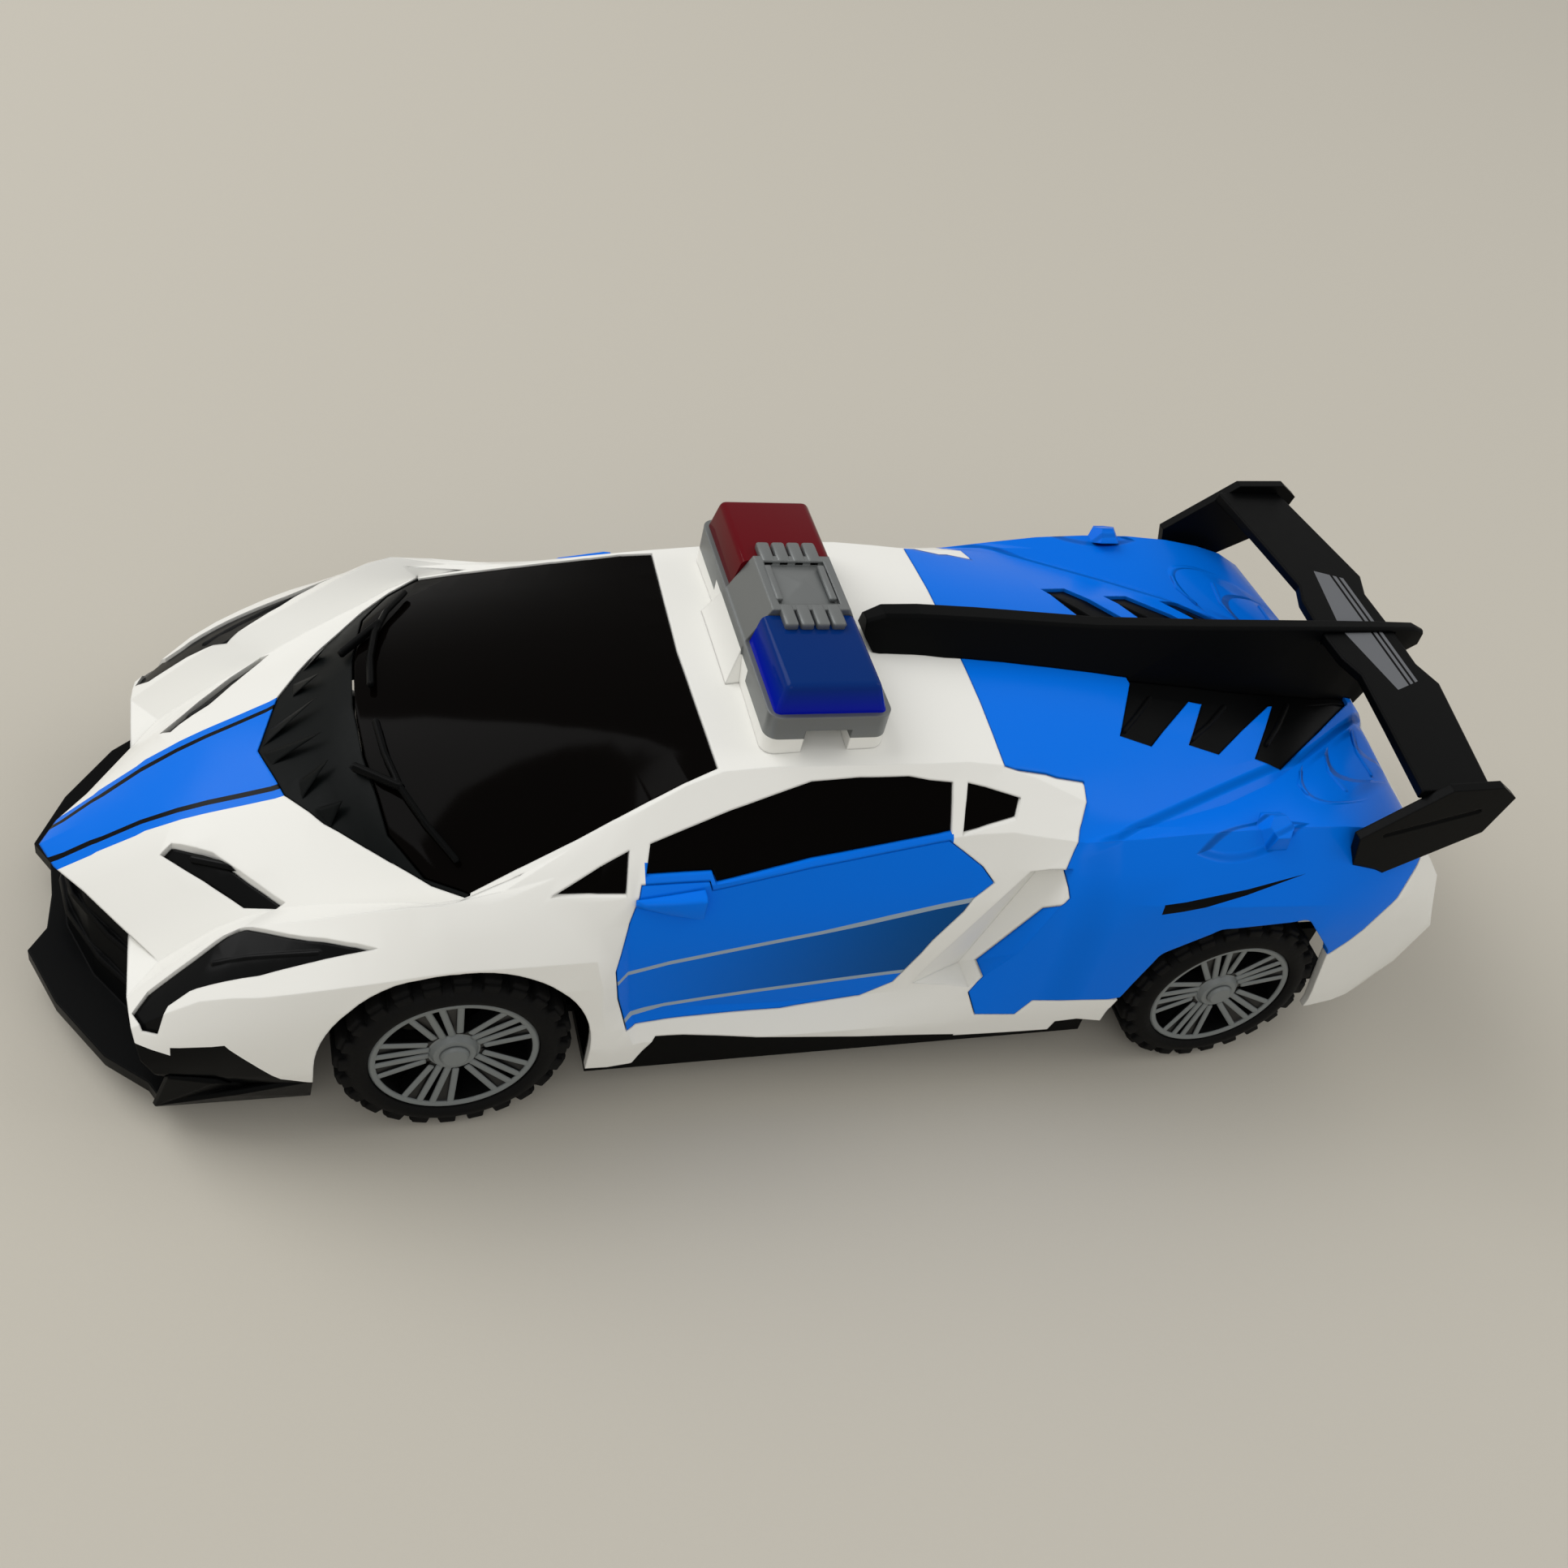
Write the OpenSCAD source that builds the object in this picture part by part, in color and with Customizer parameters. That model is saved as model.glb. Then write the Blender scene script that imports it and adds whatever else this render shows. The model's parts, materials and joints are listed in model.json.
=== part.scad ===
// Toy police car: a battery-driven sports car with a roof light bar.
// X runs forward, Y to the car's left and Z up, in millimetres, with the ground at Z = 0.
// Points of the body are design sizes from the middle of the wheelbase at ground level.
// They are stretched to the overall sizes below.

/* [Overall] */
// Distance between the two axles
wheelbase = 150; // [147:0.5:154]
// Width over the wheel arches
body_w = 107; // [105:0.5:110]
// Height of the roof above the ground
roof_h = 68.3; // [67:0.1:71]
// Wall of the moulded panels
wall = 1.8; // [1.5:0.1:2.1]
// Gap at the seams between panels
seam = 0.2; // [0.15:0.05:0.3]

/* [Wheels] */
// Radius of a tyre over its lugs
tyre_r = 20.25; // [19.75:0.05:20.75]
// Width of a tyre
tyre_w = 17; // [15:0.5:18]
// Radius of a rim where the tyre sits
rim_r = 14.6; // [13.6:0.1:15.4]
// Lugs along each shoulder of a tyre
lug_count = 24; // [16:2:28]
// Depth of the grooves between the lugs
lug_depth = 1.2; // [0.8:0.1:1.8]
// Distance between the outer faces of a pair of wheels
track_w = 106; // [104:0.5:108]
// Radius of the steel axles
axle_r = 1.5; // [1.2:0.1:2]
// Gap between a tyre and its wheel arch
arch_gap = 3.1; // [2.2:0.1:3.6]

/* [Chassis] */
// Height of the underside above the ground
ground_gap = 6.5; // [5.5:0.1:7]
// Thickness of the floor
floor_t = 2; // [1.6:0.1:2.2]
// Thickness of the chassis walls
rib_t = 1.8; // [1.4:0.1:2.2]
// Radius of the screw shanks
screw_r = 1.2; // [1:0.1:1.4]

/* [Drive] */
// Tooth size (module) of the gears
gear_m = 0.7; // [0.65:0.01:0.72]
// Teeth on the axle gear
axle_teeth = 30; // [28:1:30]
// Teeth on the small wheels of the train
small_teeth = 10; // [10:1:11]
// Teeth on the large wheel of the compound gear
large_teeth = 32; // [28:1:34]
// Play between meshing flanks
backlash = 0.16; // [0.1:0.02:0.24]
// Radius of the motor shaft and of the compound gear's pin
pin_r = 1; // [0.8:0.05:1.1]
// Radial gap of a turning fit
run_gap = 0.06; // [0.03:0.01:0.09]
// Radius of the motor case
motor_r = 10; // [9:0.1:10.4]
// Length of the motor case
motor_len = 25; // [22:0.5:26]

/* [Power] */
// Diameter of a cell
cell_d = 14.5; // [14:0.1:14.6]
// Length of a cell
cell_len = 50.5; // [49:0.5:51]
// Cells side by side
cell_count = 3; // [2:1:3]
// Travel of the power switch
switch_travel = 4; // [3:0.5:5]

/* [Light bar] */
// Length of the bar across the roof
bar_w = 55.2; // [50:0.2:58]
// Depth of the bar along the car
bar_d = 22.4; // [20:0.2:24]
// Height of the base's rim above the ground
bar_rim = 74.8; // [74:0.1:76]
// Height of the lenses above the rim
lens_h = 5.9; // [5:0.1:7]

/* [Rear wing] */
// Height of the wing's upper face above the ground
wing_top = 70.6; // [69:0.1:71]
// Thickness of the wing and its end plates
wing_t = 2; // [1.6:0.1:2.4]

/* [Hidden] */

// Design sizes that the body points were drawn at
design_wheelbase = 150;
design_w = 107;
design_roof = 68.3;
kx = wheelbase / design_wheelbase;
ky = body_w / design_w;
kz = roof_h / design_roof;

// Furthest points forward and back, which set where the frame's origin lies
splitter_tip_x = 145;
fin_end_x = -126.6;
shift_x = -kx * (splitter_tip_x + fin_end_x) / 2;

front_axle_x = wheelbase / 2;
rear_axle_x = -wheelbase / 2;
axle_z = tyre_r;
wheel_face_y = track_w / 2;
wheel_in_y = wheel_face_y - tyre_w;
floor_top = ground_gap + floor_t;

white = [0.93, 0.93, 0.91];
blue = [0.03, 0.40, 0.86];
black = [0.05, 0.05, 0.06];
smoke = [0.08, 0.06, 0.05];
dark_grey = [0.16, 0.19, 0.20];
silver = [0.52, 0.54, 0.55];
rim_grey = [0.42, 0.45, 0.45];
steel = [0.72, 0.73, 0.75];

// Feature lines of the body from nose to tail, each point as [x, y, z]
spine = [
  [142.5, 0, 21.8], [126, 0, 32.6], [114.5, 0, 39.2], [104.5, 0, 43.8], [96, 0, 49.5], [88.5, 0, 54.5],
  [66, 0, 60], [48, 0, 63.6], [32, 0, 66.4], [12, 0, 67.9], [-6, 0, 68.3], [-22, 0, 67.4], [-40, 0, 65.2],
  [-62, 0, 62], [-85, 0, 58.6], [-103, 0, 56.2], [-115, 0, 54.2], [-121, 0, 47]
];
crown = [
  [134.8, 12, 22.1], [122, 14.5, 34], [111.5, 15.5, 39.6],
  [101.5, 17, 43.9], [92.5, 19, 49], [85.5, 21, 53.2],
  [63.5, 19, 59.2], [46.5, 17, 63.1], [31.6, 15, 66.2], [12, 15.5, 67.7], [-6, 16, 68.1], [-22, 16, 67.2],
  [-39.5, 18.5, 64.9], [-59.5, 20, 62], [-84.5, 17, 58.8],
  [-102, 9.5, 56.6], [-114.6, 4.5, 54.4], [-121, 4.5, 47]
];
rail = [
  [122.5, 30, 23.5], [113, 30, 31.5], [104, 31.5, 37.2],
  [95, 34.5, 41.4], [84, 38.5, 45.4], [73.7, 41.7, 49.2],
  [56, 37.4, 56], [43, 33.6, 61.2], [30.4, 30.4, 65.4], [12, 31, 66.6], [-6, 31.5, 66.9], [-22, 31.3, 65.6],
  [-38, 37, 60.8], [-56, 38.6, 57.4], [-82, 29, 56], [-100, 17, 54.2], [-113.5, 8.5, 52.8], [-121, 8.5, 46.2]
];
crest = [
  [127.5, 36.5, 22.8], [117, 36, 32.9], [109, 36.6, 38.7],
  [100, 39, 42.6], [88, 42.6, 48.4], [78.5, 45, 51.6],
  [62.5, 45.4, 50.2], [47, 45, 50.8], [30, 44.3, 52.8], [12, 43, 55], [-8, 41.2, 57.5], [-22, 41, 58.4],
  [-36, 43, 57], [-58, 44.2, 59.2], [-80, 44.2, 59.8], [-98, 43.6, 57.8], [-110, 43, 53], [-121.5, 42, 41]
];
shoulder = [
  [126.8, 42.5, 22], [116, 45.2, 31.3], [106.5, 48.5, 35.4], [97, 50.6, 38.8], [86, 52, 41.8], [76, 52.8, 44],
  [53, 51.4, 42.5], [47, 48.3, 41], [30, 47.6, 41], [12, 47.3, 42], [-8, 46.8, 43.5], [-22, 47, 45.5],
  [-34, 48.8, 47.5], [-56, 52, 48], [-80, 53, 47.5], [-98, 51.5, 45], [-112, 47.5, 42], [-123.5, 44, 33]
];
waist = [
  [125.6, 45.8, 17.5], [115, 49, 23], [105.5, 51.2, 26], [96, 52.3, 29], [85.5, 52.9, 30.5], [75.5, 53.2, 31],
  [50.5, 52.2, 29], [44.8, 48.9, 26], [30, 48, 24], [12, 47.8, 23], [-8, 48, 24], [-22, 49.5, 27],
  [-34, 51, 30], [-56, 53, 34], [-80, 53.5, 34], [-98, 52, 30], [-113, 48.2, 27], [-125.5, 44.5, 28]
];
sill_top = [
  [123.5, 47, 15], [113.5, 49.7, 16.8], [104.5, 51.3, 18], [95.5, 52.3, 19.5], [85, 52.8, 20], [75, 53, 20],
  [47.8, 52.6, 19.5], [41.6, 51.1, 18.5], [30, 51, 17.5], [12, 51, 17], [-8, 51, 17], [-22, 51.2, 18],
  [-34, 51.8, 19], [-56, 52.8, 20], [-80, 53, 20], [-99, 51.6, 18], [-112, 48.6, 17.5], [-121, 45.5, 18]
];
sill_foot = [
  [121.5, 46.8, 13.5], [113, 49.2, 14.5], [104, 50.8, 15], [95, 51.8, 15.5], [85, 52.2, 15.5], [75, 52.4, 15],
  [47.6, 52, 13.2], [41.2, 50.8, 12.8], [30, 50.6, 12.5],
  [12, 50.6, 12.2], [-8, 50.6, 12.2], [-22, 50.8, 12.2],
  [-34, 51.2, 12.3], [-56, 52, 13], [-80, 52.2, 13], [-100, 51, 12.5], [-110, 49, 12.5], [-117, 46, 14]
];
LINES = [spine, crown, rail, crest, shoulder, waist, sill_top, sill_foot];
// Lines where the surface has an edge
EDGE = [false, false, true, true, false, true, true, true];
spans = len(spine) - 1;

// Side-view outlines as [x, z]
door_outline = [
  [45.3, 22.5], [47.9, 31.1], [49.1, 38.1], [47.3, 46.4],
  [45.4, 52.3], [33.6, 52.9], [33.1, 51.5], [15.8, 54.4],
  [-9.9, 57.4], [-16.9, 52.7], [-19.6, 49.7], [-16.1, 46.7],
  [-10.3, 37.4], [-5.1, 26.5], [0.6, 23.1], [16.1, 21.8]
];
main_pane = [
  [44.6, 53.1], [43.6, 56.9], [29.6, 61], [15.2, 64.7], [6.5, 65.3], [-2.5, 65.4], [-11, 64.3], [-10.3, 58.2],
  [15.8, 55.2], [32.6, 52.4], [33.2, 53.7]
];
front_pane = [[60.8, 51.1], [47.1, 56.1], [47.9, 50.9]];
rear_pane = [[-13.8, 64.2], [-24.1, 62], [-22.7, 59.7], [-12.3, 58]];
glass_backing = [
  [63, 50], [47, 58.6], [24, 65.2], [0, 66.3], [-16, 65.7],
  [-26, 62.4], [-23, 59], [-11, 57.8], [20, 54.5], [46, 51.6]
];
blue_outline = [
  [-21.3, 95], [-21.3, 65.4], [-37.8, 61.8], [-35.1, 58.3],
  [-32.4, 52.8], [-33.7, 48.2], [-30.3, 44.1], [-20.2, 24.3],
  [-22.7, 18.8], [-31, 18.5], [-33.6, 22.3], [-49.4, 22.1],
  [-95, 31.2], [-112.4, 50.1], [-150, 50.1], [-150, 95]
];
// The white shell ends where the blue deck and the tail begin
rear_outline = concat([for (i = [0:11]) blue_outline[i]], [[-88, 20], [-88, 5], [-150, 5], [-150, 95]]);
tail_outline = [[-88, 5], [-88, 29.9], [-95, 31.2], [-112.4, 50.1], [-150, 50.1], [-150, 5]];
// Steps in the foot of the sill, behind the front wheel and ahead of the rear one
sill_step = [[43.6, 5], [43.4, 12], [39.4, 19.4], [34.2, 19], [-0.8, 14.4], [-20.4, 12.6], [-20.4, 5]];
rear_step = [[-38.6, 5], [-40.6, 15.4], [-45, 16], [-52.6, 14.3], [-56.4, 5]];
arch_corners = [
  [21.5, -12], [21.5, -2], [17, 13.7], [8.5, 19.3], [-8, 20.3], [-16.5, 10.8], [-20.5, -6], [-20.5, -12]
];
arch_round = 3;
// Heights that cuts from above start at, over the hood's underside and at the foot of the lamps
hood_low = 25;
lamp_low = 15.3;
design_arch_r = 23.35;

// Top-view outlines of the left half as [x, y]
lamp_outline = [
  [109.4, 35.7], [101.6, 40.5], [88.4, 47.5], [96.5, 46.3],
  [106.6, 45.2], [117.4, 42.7], [120.8, 42.9], [122.6, 45],
  [125, 43.6], [126.6, 40.2], [124, 38.2], [116.4, 37.3]
];
screen_half = [
  [88.9, 0], [88.1, 12.3], [85.2, 27.6], [80, 36.3], [73.2, 40.9],
  [56.2, 36.5], [43.2, 32.7], [31.2, 29.4], [32, 14.4], [32.5, 0]
];
cowl_half = [
  [105.1, 0], [101.2, 12.5], [95.2, 21], [85.3, 32], [79.2, 38],
  [73.5, 41.9], [73.2, 40.9], [80, 36.3], [85.2, 27.6],
  [88.1, 12.3], [88.9, 0]
];
vent_outline = [[121.7, 15], [119.8, 13.8], [113.1, 18.4], [101.9, 31.3], [103.4, 31.7], [108.5, 29.2]];
louvre_fingers = [
  [[-57.9, 7], [-49.5, 21.8], [-56, 23.6], [-72.5, 8.5]],
  [[-74.5, 9], [-65, 22.4], [-71.4, 24], [-90.2, 9.5]],
  [[-91.8, 8.6], [-80, 24.1], [-86, 25.5], [-113, 5.5]]
];
louvre_spine = [[-57.9, 9], [-72.5, 11], [-90, 9.6], [-113, 5.5]];
splitter_half = [
  [141.5, 0], [142, 8], [145, 13], [140, 25], [131.8, 37.5], [124.8, 43.6], [123.3, 46.4], [98, 46.4], [98, 0]
];
wing_half = [
  [-101.4, 0], [-102, 9], [-103.8, 14], [-102, 28], [-99.5, 46.2],
  [-115, 46.2], [-120.6, 17], [-118.5, 11], [-118.8, 0]
];
end_plate_outline = [
  [-89.9, 60.2], [-92.1, 52], [-99.5, 50], [-117.3, 60.6], [-119.7, 69.8], [-115.7, 72.6], [-104.5, 72.3]
];
wing_end_y = 46.2;

// The side scoop behind the door, a wedge that deepens to the rear.
// Each corner has the direction it moves in when the wedge grows.
scoop_corners = [
  [[-22.5, 47.2, 51.5], [0.4, -1, 1]], [[-7.5, 48.6, 26], [0.4, -1, -1]],
  [[-31.5, 41, 53], [-1, -1, 1]], [[-20, 43.5, 25.5], [-1, -1, -1]],
  [[-42, 62, 53], [-1, 0, 1]], [[-20, 62, 25.5], [-1, 0, -1]],
  [[-22.5, 62, 51.5], [0.4, 0, 1]], [[-7.5, 62, 26], [0.4, 0, -1]]
];

// Slices of the centre fin: [x, low z, top z, half width at the top, half width at the foot]
fin_slices = [
  [-1.8, 71.2, 74.3, 1.5, 2.2], [-5, 66.5, 75.8, 1.9, 4.5], [-12, 60, 75.8, 2, 6.5], [-24, 60, 75, 2, 7.3],
  [-50, 58, 72.8, 1.8, 7.3], [-75, 54, 72.2, 1.6, 7], [-100, 50, 71.9, 1.5, 6.5], [-114, 50, 71.7, 1.4, 4.5],
  [-123.5, 65.5, 71.5, 1.2, 1.5], [fin_end_x, 67, 70.2, 0.8, 0.9]
];

// Gear train: the pin and the motor lie at these angles from the rear axle and the pin
pin_angle = 40;
motor_angle = -20;
pin_dist = gear_m * (axle_teeth + small_teeth) / 2;
motor_dist = gear_m * (large_teeth + small_teeth) / 2;
pin_x = rear_axle_x + pin_dist * cos(pin_angle);
pin_z = axle_z + pin_dist * sin(pin_angle);
motor_x = pin_x + motor_dist * cos(motor_angle);
motor_z = pin_z + motor_dist * sin(motor_angle);
pressure_angle = 25;
addendum = 0.8;
dedendum = 1.1;
// Planes of the train across the car
plate_t = 1.6;
plate_y = 9.4;
gear_gap = 0.5;
narrow_w = 4;
wide_w = 5;
small_y = plate_y + plate_t + gear_gap;
large_y = small_y + wide_w;
cover_y = large_y + narrow_w + gear_gap;
gearbox_back = rear_axle_x - gear_m * axle_teeth / 2 - 2.5;
gearbox_front = motor_x + gear_m * small_teeth / 2 + 2.5;
gearbox_top = pin_z + gear_m * large_teeth / 2 + 2.5;

// Battery box
cell_pitch = cell_d + 0.5;
box_half_w = cell_pitch * (cell_count - 1) / 2 + cell_d / 2 + 0.4;
contact_t = 0.5;
spring_h = 1.3;
box_len = cell_len + 2 * contact_t + spring_h + 0.4;
box_front = 24;
box_back = box_front - box_len;
cell_z = floor_top + 0.3 + cell_d / 2;
box_top = cell_z + cell_d / 2 + 0.3;
door_gap = 0.25;
door_tab = 7;
tab_t = 0.8;
// The tab lies level with the floor's upper side, and its screw head stays inside the floor
tab_front = box_front + rib_t + door_tab + 1;
seat_end = tab_front + 1;
seat_z = floor_top + 0.1;
door_screw_x = box_front + rib_t + door_tab / 2;
boss_r = 3.2;
boss_h = 5.5;

// Screw posts, two in the nose and two under the deck
post_r = 3.4;
nose_post = [106, 21];
tail_post = [-104, 20.3];
head_r = 2.4;
head_h = 1;

switch_len = 10;
switch_w = 6;
switch_h = 4.5;
switch_x = seat_end + rib_t + 1 + switch_len / 2;
knob_h = 1.4;
knob_d = 3;
stem_d = 2;
slot_gap = 0.3;
knob_travel_half = (switch_travel + stem_d) / 2 + slot_gap;
speaker_x = 62;
speaker_r = 13;
speaker_h = 5;

bar_x = 12.2 * kx;
lens_taper = 3;
lens_wall = 1.4;
saddle_half = 7.5;
saddle_top = bar_rim + lens_h + 1.2;
led_r = 2.5;
led_y = 15;
bar_cavity = 2;

// Geometry of the body surface

function d3(p) = [p[0] * kx, p[1] * ky, p[2] * kz];
function side_points(pts) = [for (p = pts) [p[0] * kx, p[1] * kz]];
function plan_points(pts) = [for (p = pts) [p[0] * kx, p[1] * ky]];
function both_halves(pts) =
  concat(pts, [for (i = [len(pts) - 1:-1:0]) if (pts[i][1] > 0) [pts[i][0], -pts[i][1]]]);
function mirror_y(p) = [p[0], -p[1], p[2]];
function unit(v) = v / norm(v);
function pick(list, i) = list[max(0, min(len(list) - 1, i))];

function curve(a, b, c, d, t) =
  (2 * b + (c - a) * t + (2 * a - 5 * b + 4 * c - d) * t * t + (3 * b - a - 3 * c + d) * t * t * t) / 2;
function line_at(line, i, t) =
  curve(pick(line, i - 1), pick(line, i), pick(line, i + 1), pick(line, i + 2), t);
function section(i, t) = [for (line = LINES) d3(line_at(line, i, t))];

function blend(p, q, m, n, t) =
  (2 * pow(t, 3) - 3 * pow(t, 2) + 1) * p + (pow(t, 3) - 2 * pow(t, 2) + t) * m
  + (3 * pow(t, 2) - 2 * pow(t, 3)) * q + (pow(t, 3) - pow(t, 2)) * n;
function leaving(s, k) = k == 0 ? [0, s[1][1], 0] : EDGE[k] ? s[k + 1] - s[k] : (s[k + 1] - s[k - 1]) / 2;
function arriving(s, k) = EDGE[k] ? s[k] - s[k - 1] : (s[k + 1] - s[k - 1]) / 2;
function half_row(s, steps) = [
  for (k = [0:len(s) - 2])
    for (j = [0:steps - 1]) blend(s[k], s[k + 1], leaving(s, k), arriving(s, k + 1), j / steps),
  s[len(s) - 1]
];
function full_row(h) =
  concat([for (j = [len(h) - 1:-1:1]) h[j]], [h[0]], [for (j = [1:len(h) - 1]) mirror_y(h[j])]);
function body_rows(along, across) = [
  for (i = [0:spans - 1])
    for (j = [0:along - 1]) full_row(half_row(section(i, j / along), across)),
  full_row(half_row(section(spans - 1, 1), across))
];
function outward(rows, i, j) =
  unit(cross(
    pick(rows, i + 1)[j] - pick(rows, i - 1)[j],
    pick(rows[i], j + 1) - pick(rows[i], j - 1)
  ));
function inset_rows(rows, d) = [
  for (i = [0:len(rows) - 1])
    [for (j = [0:len(rows[i]) - 1]) rows[i][j] - d * outward(rows, i, j)]
];
// A row moved along the car, with its two feet dropped
function moved_row(row, dx, drop) = [
  for (j = [0:len(row) - 1]) row[j] + [dx, 0, j == 0 || j == len(row) - 1 ? -drop : 0]
];
// Rows carried on past both ends and feet dropped, so that what is cut away leaves the shell open there
function open_rows(rows, reach, drop) = concat(
  [moved_row(rows[0], reach, drop)],
  [for (row = rows) moved_row(row, 0, drop)],
  [moved_row(rows[len(rows) - 1], -reach, drop)]
);
fine_rows = body_rows(2, 2);
coarse_rows = body_rows(1, 1);
// Cuts from the side stop this far from the middle
side_from = 10;
end_reach = 30;
foot_drop = 20;

// A point on the left half of the skin: u counts stations from the nose, v counts lines from the spine
function skin_at(u, v) =
  let (i = min(spans - 1, floor(u)), k = min(len(LINES) - 2, floor(v)), s = section(i, u - i))
  blend(s[k], s[k + 1], leaving(s, k), arriving(s, k + 1), v - k);
function forward_at(u, v) = unit(skin_at(u - 0.1, v) - skin_at(u + 0.1, v));
function upward_at(u, v) = unit(skin_at(u, v - 0.05) - skin_at(u, v + 0.05));
// The same point set d below the skin
function below(u, v, d) = skin_at(u, v) + d * unit(cross(forward_at(u, v), upward_at(u, v)));

function mean(points) = [for (p = points) 1] * points / len(points);

// In a mirrored loft the quads past the middle of a row are split along the mirrored diagonal
module loft(rows, mirrored = false) {
  n = len(rows[0]);
  last = len(rows) - 1;
  half = mirrored ? (n - 1) / 2 : n;
  points = concat([for (r = rows) each r], [mean(rows[0]), mean(rows[last])]);
  walls = [
    for (i = [0:last - 1])
      for (j = [0:n - 1])
        let (a = i * n + j, b = i * n + (j + 1) % n, c = b + n, d = a + n)
        each (j < half || j == n - 1 ? [[a, b, c], [a, c, d]] : [[a, b, d], [b, c, d]])
  ];
  front_cap = [for (j = [0:n - 1]) [(last + 1) * n, (j + 1) % n, j]];
  rear_cap = [for (j = [0:n - 1]) [(last + 1) * n + 1, last * n + j, last * n + (j + 1) % n]];
  polyhedron(points, concat(walls, front_cap, rear_cap), convexity = 8);
}

module scoop(grow) {
  corners = [for (c = scoop_corners) d3(c[0]) + grow * c[1]];
  faces = [[0, 1, 3, 2], [4, 5, 7, 6], [0, 6, 7, 1], [2, 3, 5, 4], [0, 2, 4, 6], [1, 7, 5, 3]];
  for (side = [0, 1])
    mirror([0, side, 0])
      hull() polyhedron(corners, faces);
}

// The body's outer form set inwards by d, closed
module form(d) {
  difference() {
    loft(d == 0 ? fine_rows : inset_rows(fine_rows, d), true);
    scoop(d);
  }
}

// The space inside a skin that lies d deep, open at the nose, tail and foot
module inside(d) {
  difference() {
    loft(open_rows(inset_rows(coarse_rows, d), end_reach, foot_drop), true);
    scoop(d);
  }
}

// A shell of the body between two depths, with the wheel openings cut out
module skin(from, to) {
  difference() {
    form(from);
    inside(to);
    front_arch();
    rear_arch();
  }
}

// A shell behind another shell
module layer(from, to) {
  difference() {
    inside(from);
    inside(to);
  }
}

module side_cut(outline, grow = 0) {
  translate([0, body_w, 0])
    rotate([90, 0, 0])
      linear_extrude(body_w - side_from)
        offset(delta = grow) polygon(side_points(outline));
}

module both_sides(outline) {
  for (side = [0, 1]) mirror([0, side, 0]) side_cut(outline);
}

module through_cut(outline, grow = 0) {
  depth = 2 * body_w;
  translate([0, depth / 2, 0])
    rotate([90, 0, 0])
      linear_extrude(depth)
        offset(delta = grow) polygon(side_points(outline));
}

module top_cut(outline, grow = 0, low = hood_low) {
  translate([0, 0, low * kz])
    linear_extrude(roof_h)
      offset(delta = grow) polygon(plan_points(outline));
}

module centred() {
  translate([shift_x, 0, 0]) children();
}

module right_side() {
  mirror([0, 1, 0]) children();
}

// Openings for the four wheels
module front_arch() {
  for (side = [1, -1])
    hull()
      for (drop = [0, axle_z])
        translate([front_axle_x, side * (wheel_in_y - 3), axle_z - drop])
          rotate([-90 * side, 0, 0]) cylinder(r = tyre_r + arch_gap, h = body_w, $fn = 64);
}

module rear_arch() {
  k = (tyre_r + arch_gap) / design_arch_r;
  for (side = [1, -1])
    hull()
      for (p = arch_corners)
        translate([rear_axle_x + p[0] * k, side * (wheel_in_y - 3), axle_z + p[1] * k])
          rotate([-90 * side, 0, 0]) cylinder(r = arch_round, h = body_w, $fn = 20);
}

module post(at, foot) {
  difference() {
    intersection() {
      translate([at[0] * kx, at[1] * ky, foot]) cylinder(r = post_r, h = 80, $fn = 32);
      inside(wall / 2);
    }
    translate([at[0] * kx, at[1] * ky, foot - 1]) cylinder(r = screw_r + 0.05, h = 13, $fn = 24);
  }
}

// Rounded bar between two points, for ribs and trim
module bar(p, q, r, sides = 6) {
  hull() {
    translate(p) sphere(r = r, $fn = sides);
    translate(q) sphere(r = r, $fn = sides);
  }
}

// Bars through a list of points
module strand(points, r, sides = 6) {
  for (i = [0:len(points) - 2]) bar(points[i], points[i + 1], r, sides);
}

// Body panels

module body_shell() {
  color(white) centred() {
    difference() {
      skin(0, wall);
      through_cut(rear_outline);
      both_sides(door_outline);
      both_sides(main_pane);
      both_sides(front_pane);
      both_sides(rear_pane);
      both_sides(sill_step);
      both_sides(rear_step);
      for (side = [0, 1]) mirror([0, side, 0]) top_cut(lamp_outline, 0, lamp_low);
      top_cut(both_halves(screen_half));
      top_cut(both_halves(cowl_half));
      top_cut(vent_outline);
      right_side() top_cut(vent_outline);
    }
    for (side = [1, -1]) post([nose_post[0], side * nose_post[1]], floor_top);
  }
}

module rear_deck() {
  color(blue) centred() {
    difference() {
      intersection() {
        skin(0, wall);
        through_cut(blue_outline, -seam);
      }
      louvre_cut(0);
      right_side() louvre_cut(0);
    }
    for (side = [1, -1]) post([tail_post[0], side * tail_post[1]], floor_top);
    for (side = [0, 1])
      mirror([0, side, 0]) {
        translate(below(13.72, 3.04, 1.2))
          rotate([-cap_tilt, 0, 0]) cylinder(r1 = cap_r, r2 = cap_r * 0.6, h = cap_h, $fn = 6);
        for (rib = deck_ribs) strand([for (p = rib) below(p[0], p[1], 0.15)], 0.5, 4);
      }
  }
}
// Fuel cap on the edge of the deck
cap_r = 4.2;
cap_h = 3.2;
cap_tilt = 30;
// Curved ribs behind the louvres, as points on the skin
deck_ribs = [
  [[14.45, 2.11], [14.3, 2.25], [14.32, 2.43]], [[15, 2.14], [14.85, 2.29], [14.9, 2.55]],
  [[15.8, 2.09], [15.6, 2.27], [15.62, 2.48]]
];

module louvre_cut(grow) {
  for (finger = louvre_fingers) top_cut(finger, grow);
  top_cut(both_halves(louvre_spine), grow);
}

module rear_bumper() {
  color(white) centred()
    intersection() {
      skin(0, wall);
      through_cut(tail_outline, -seam);
    }
}

module door() {
  intersection() {
    skin(0, wall);
    side_cut(door_outline, -seam);
  }
}

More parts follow.
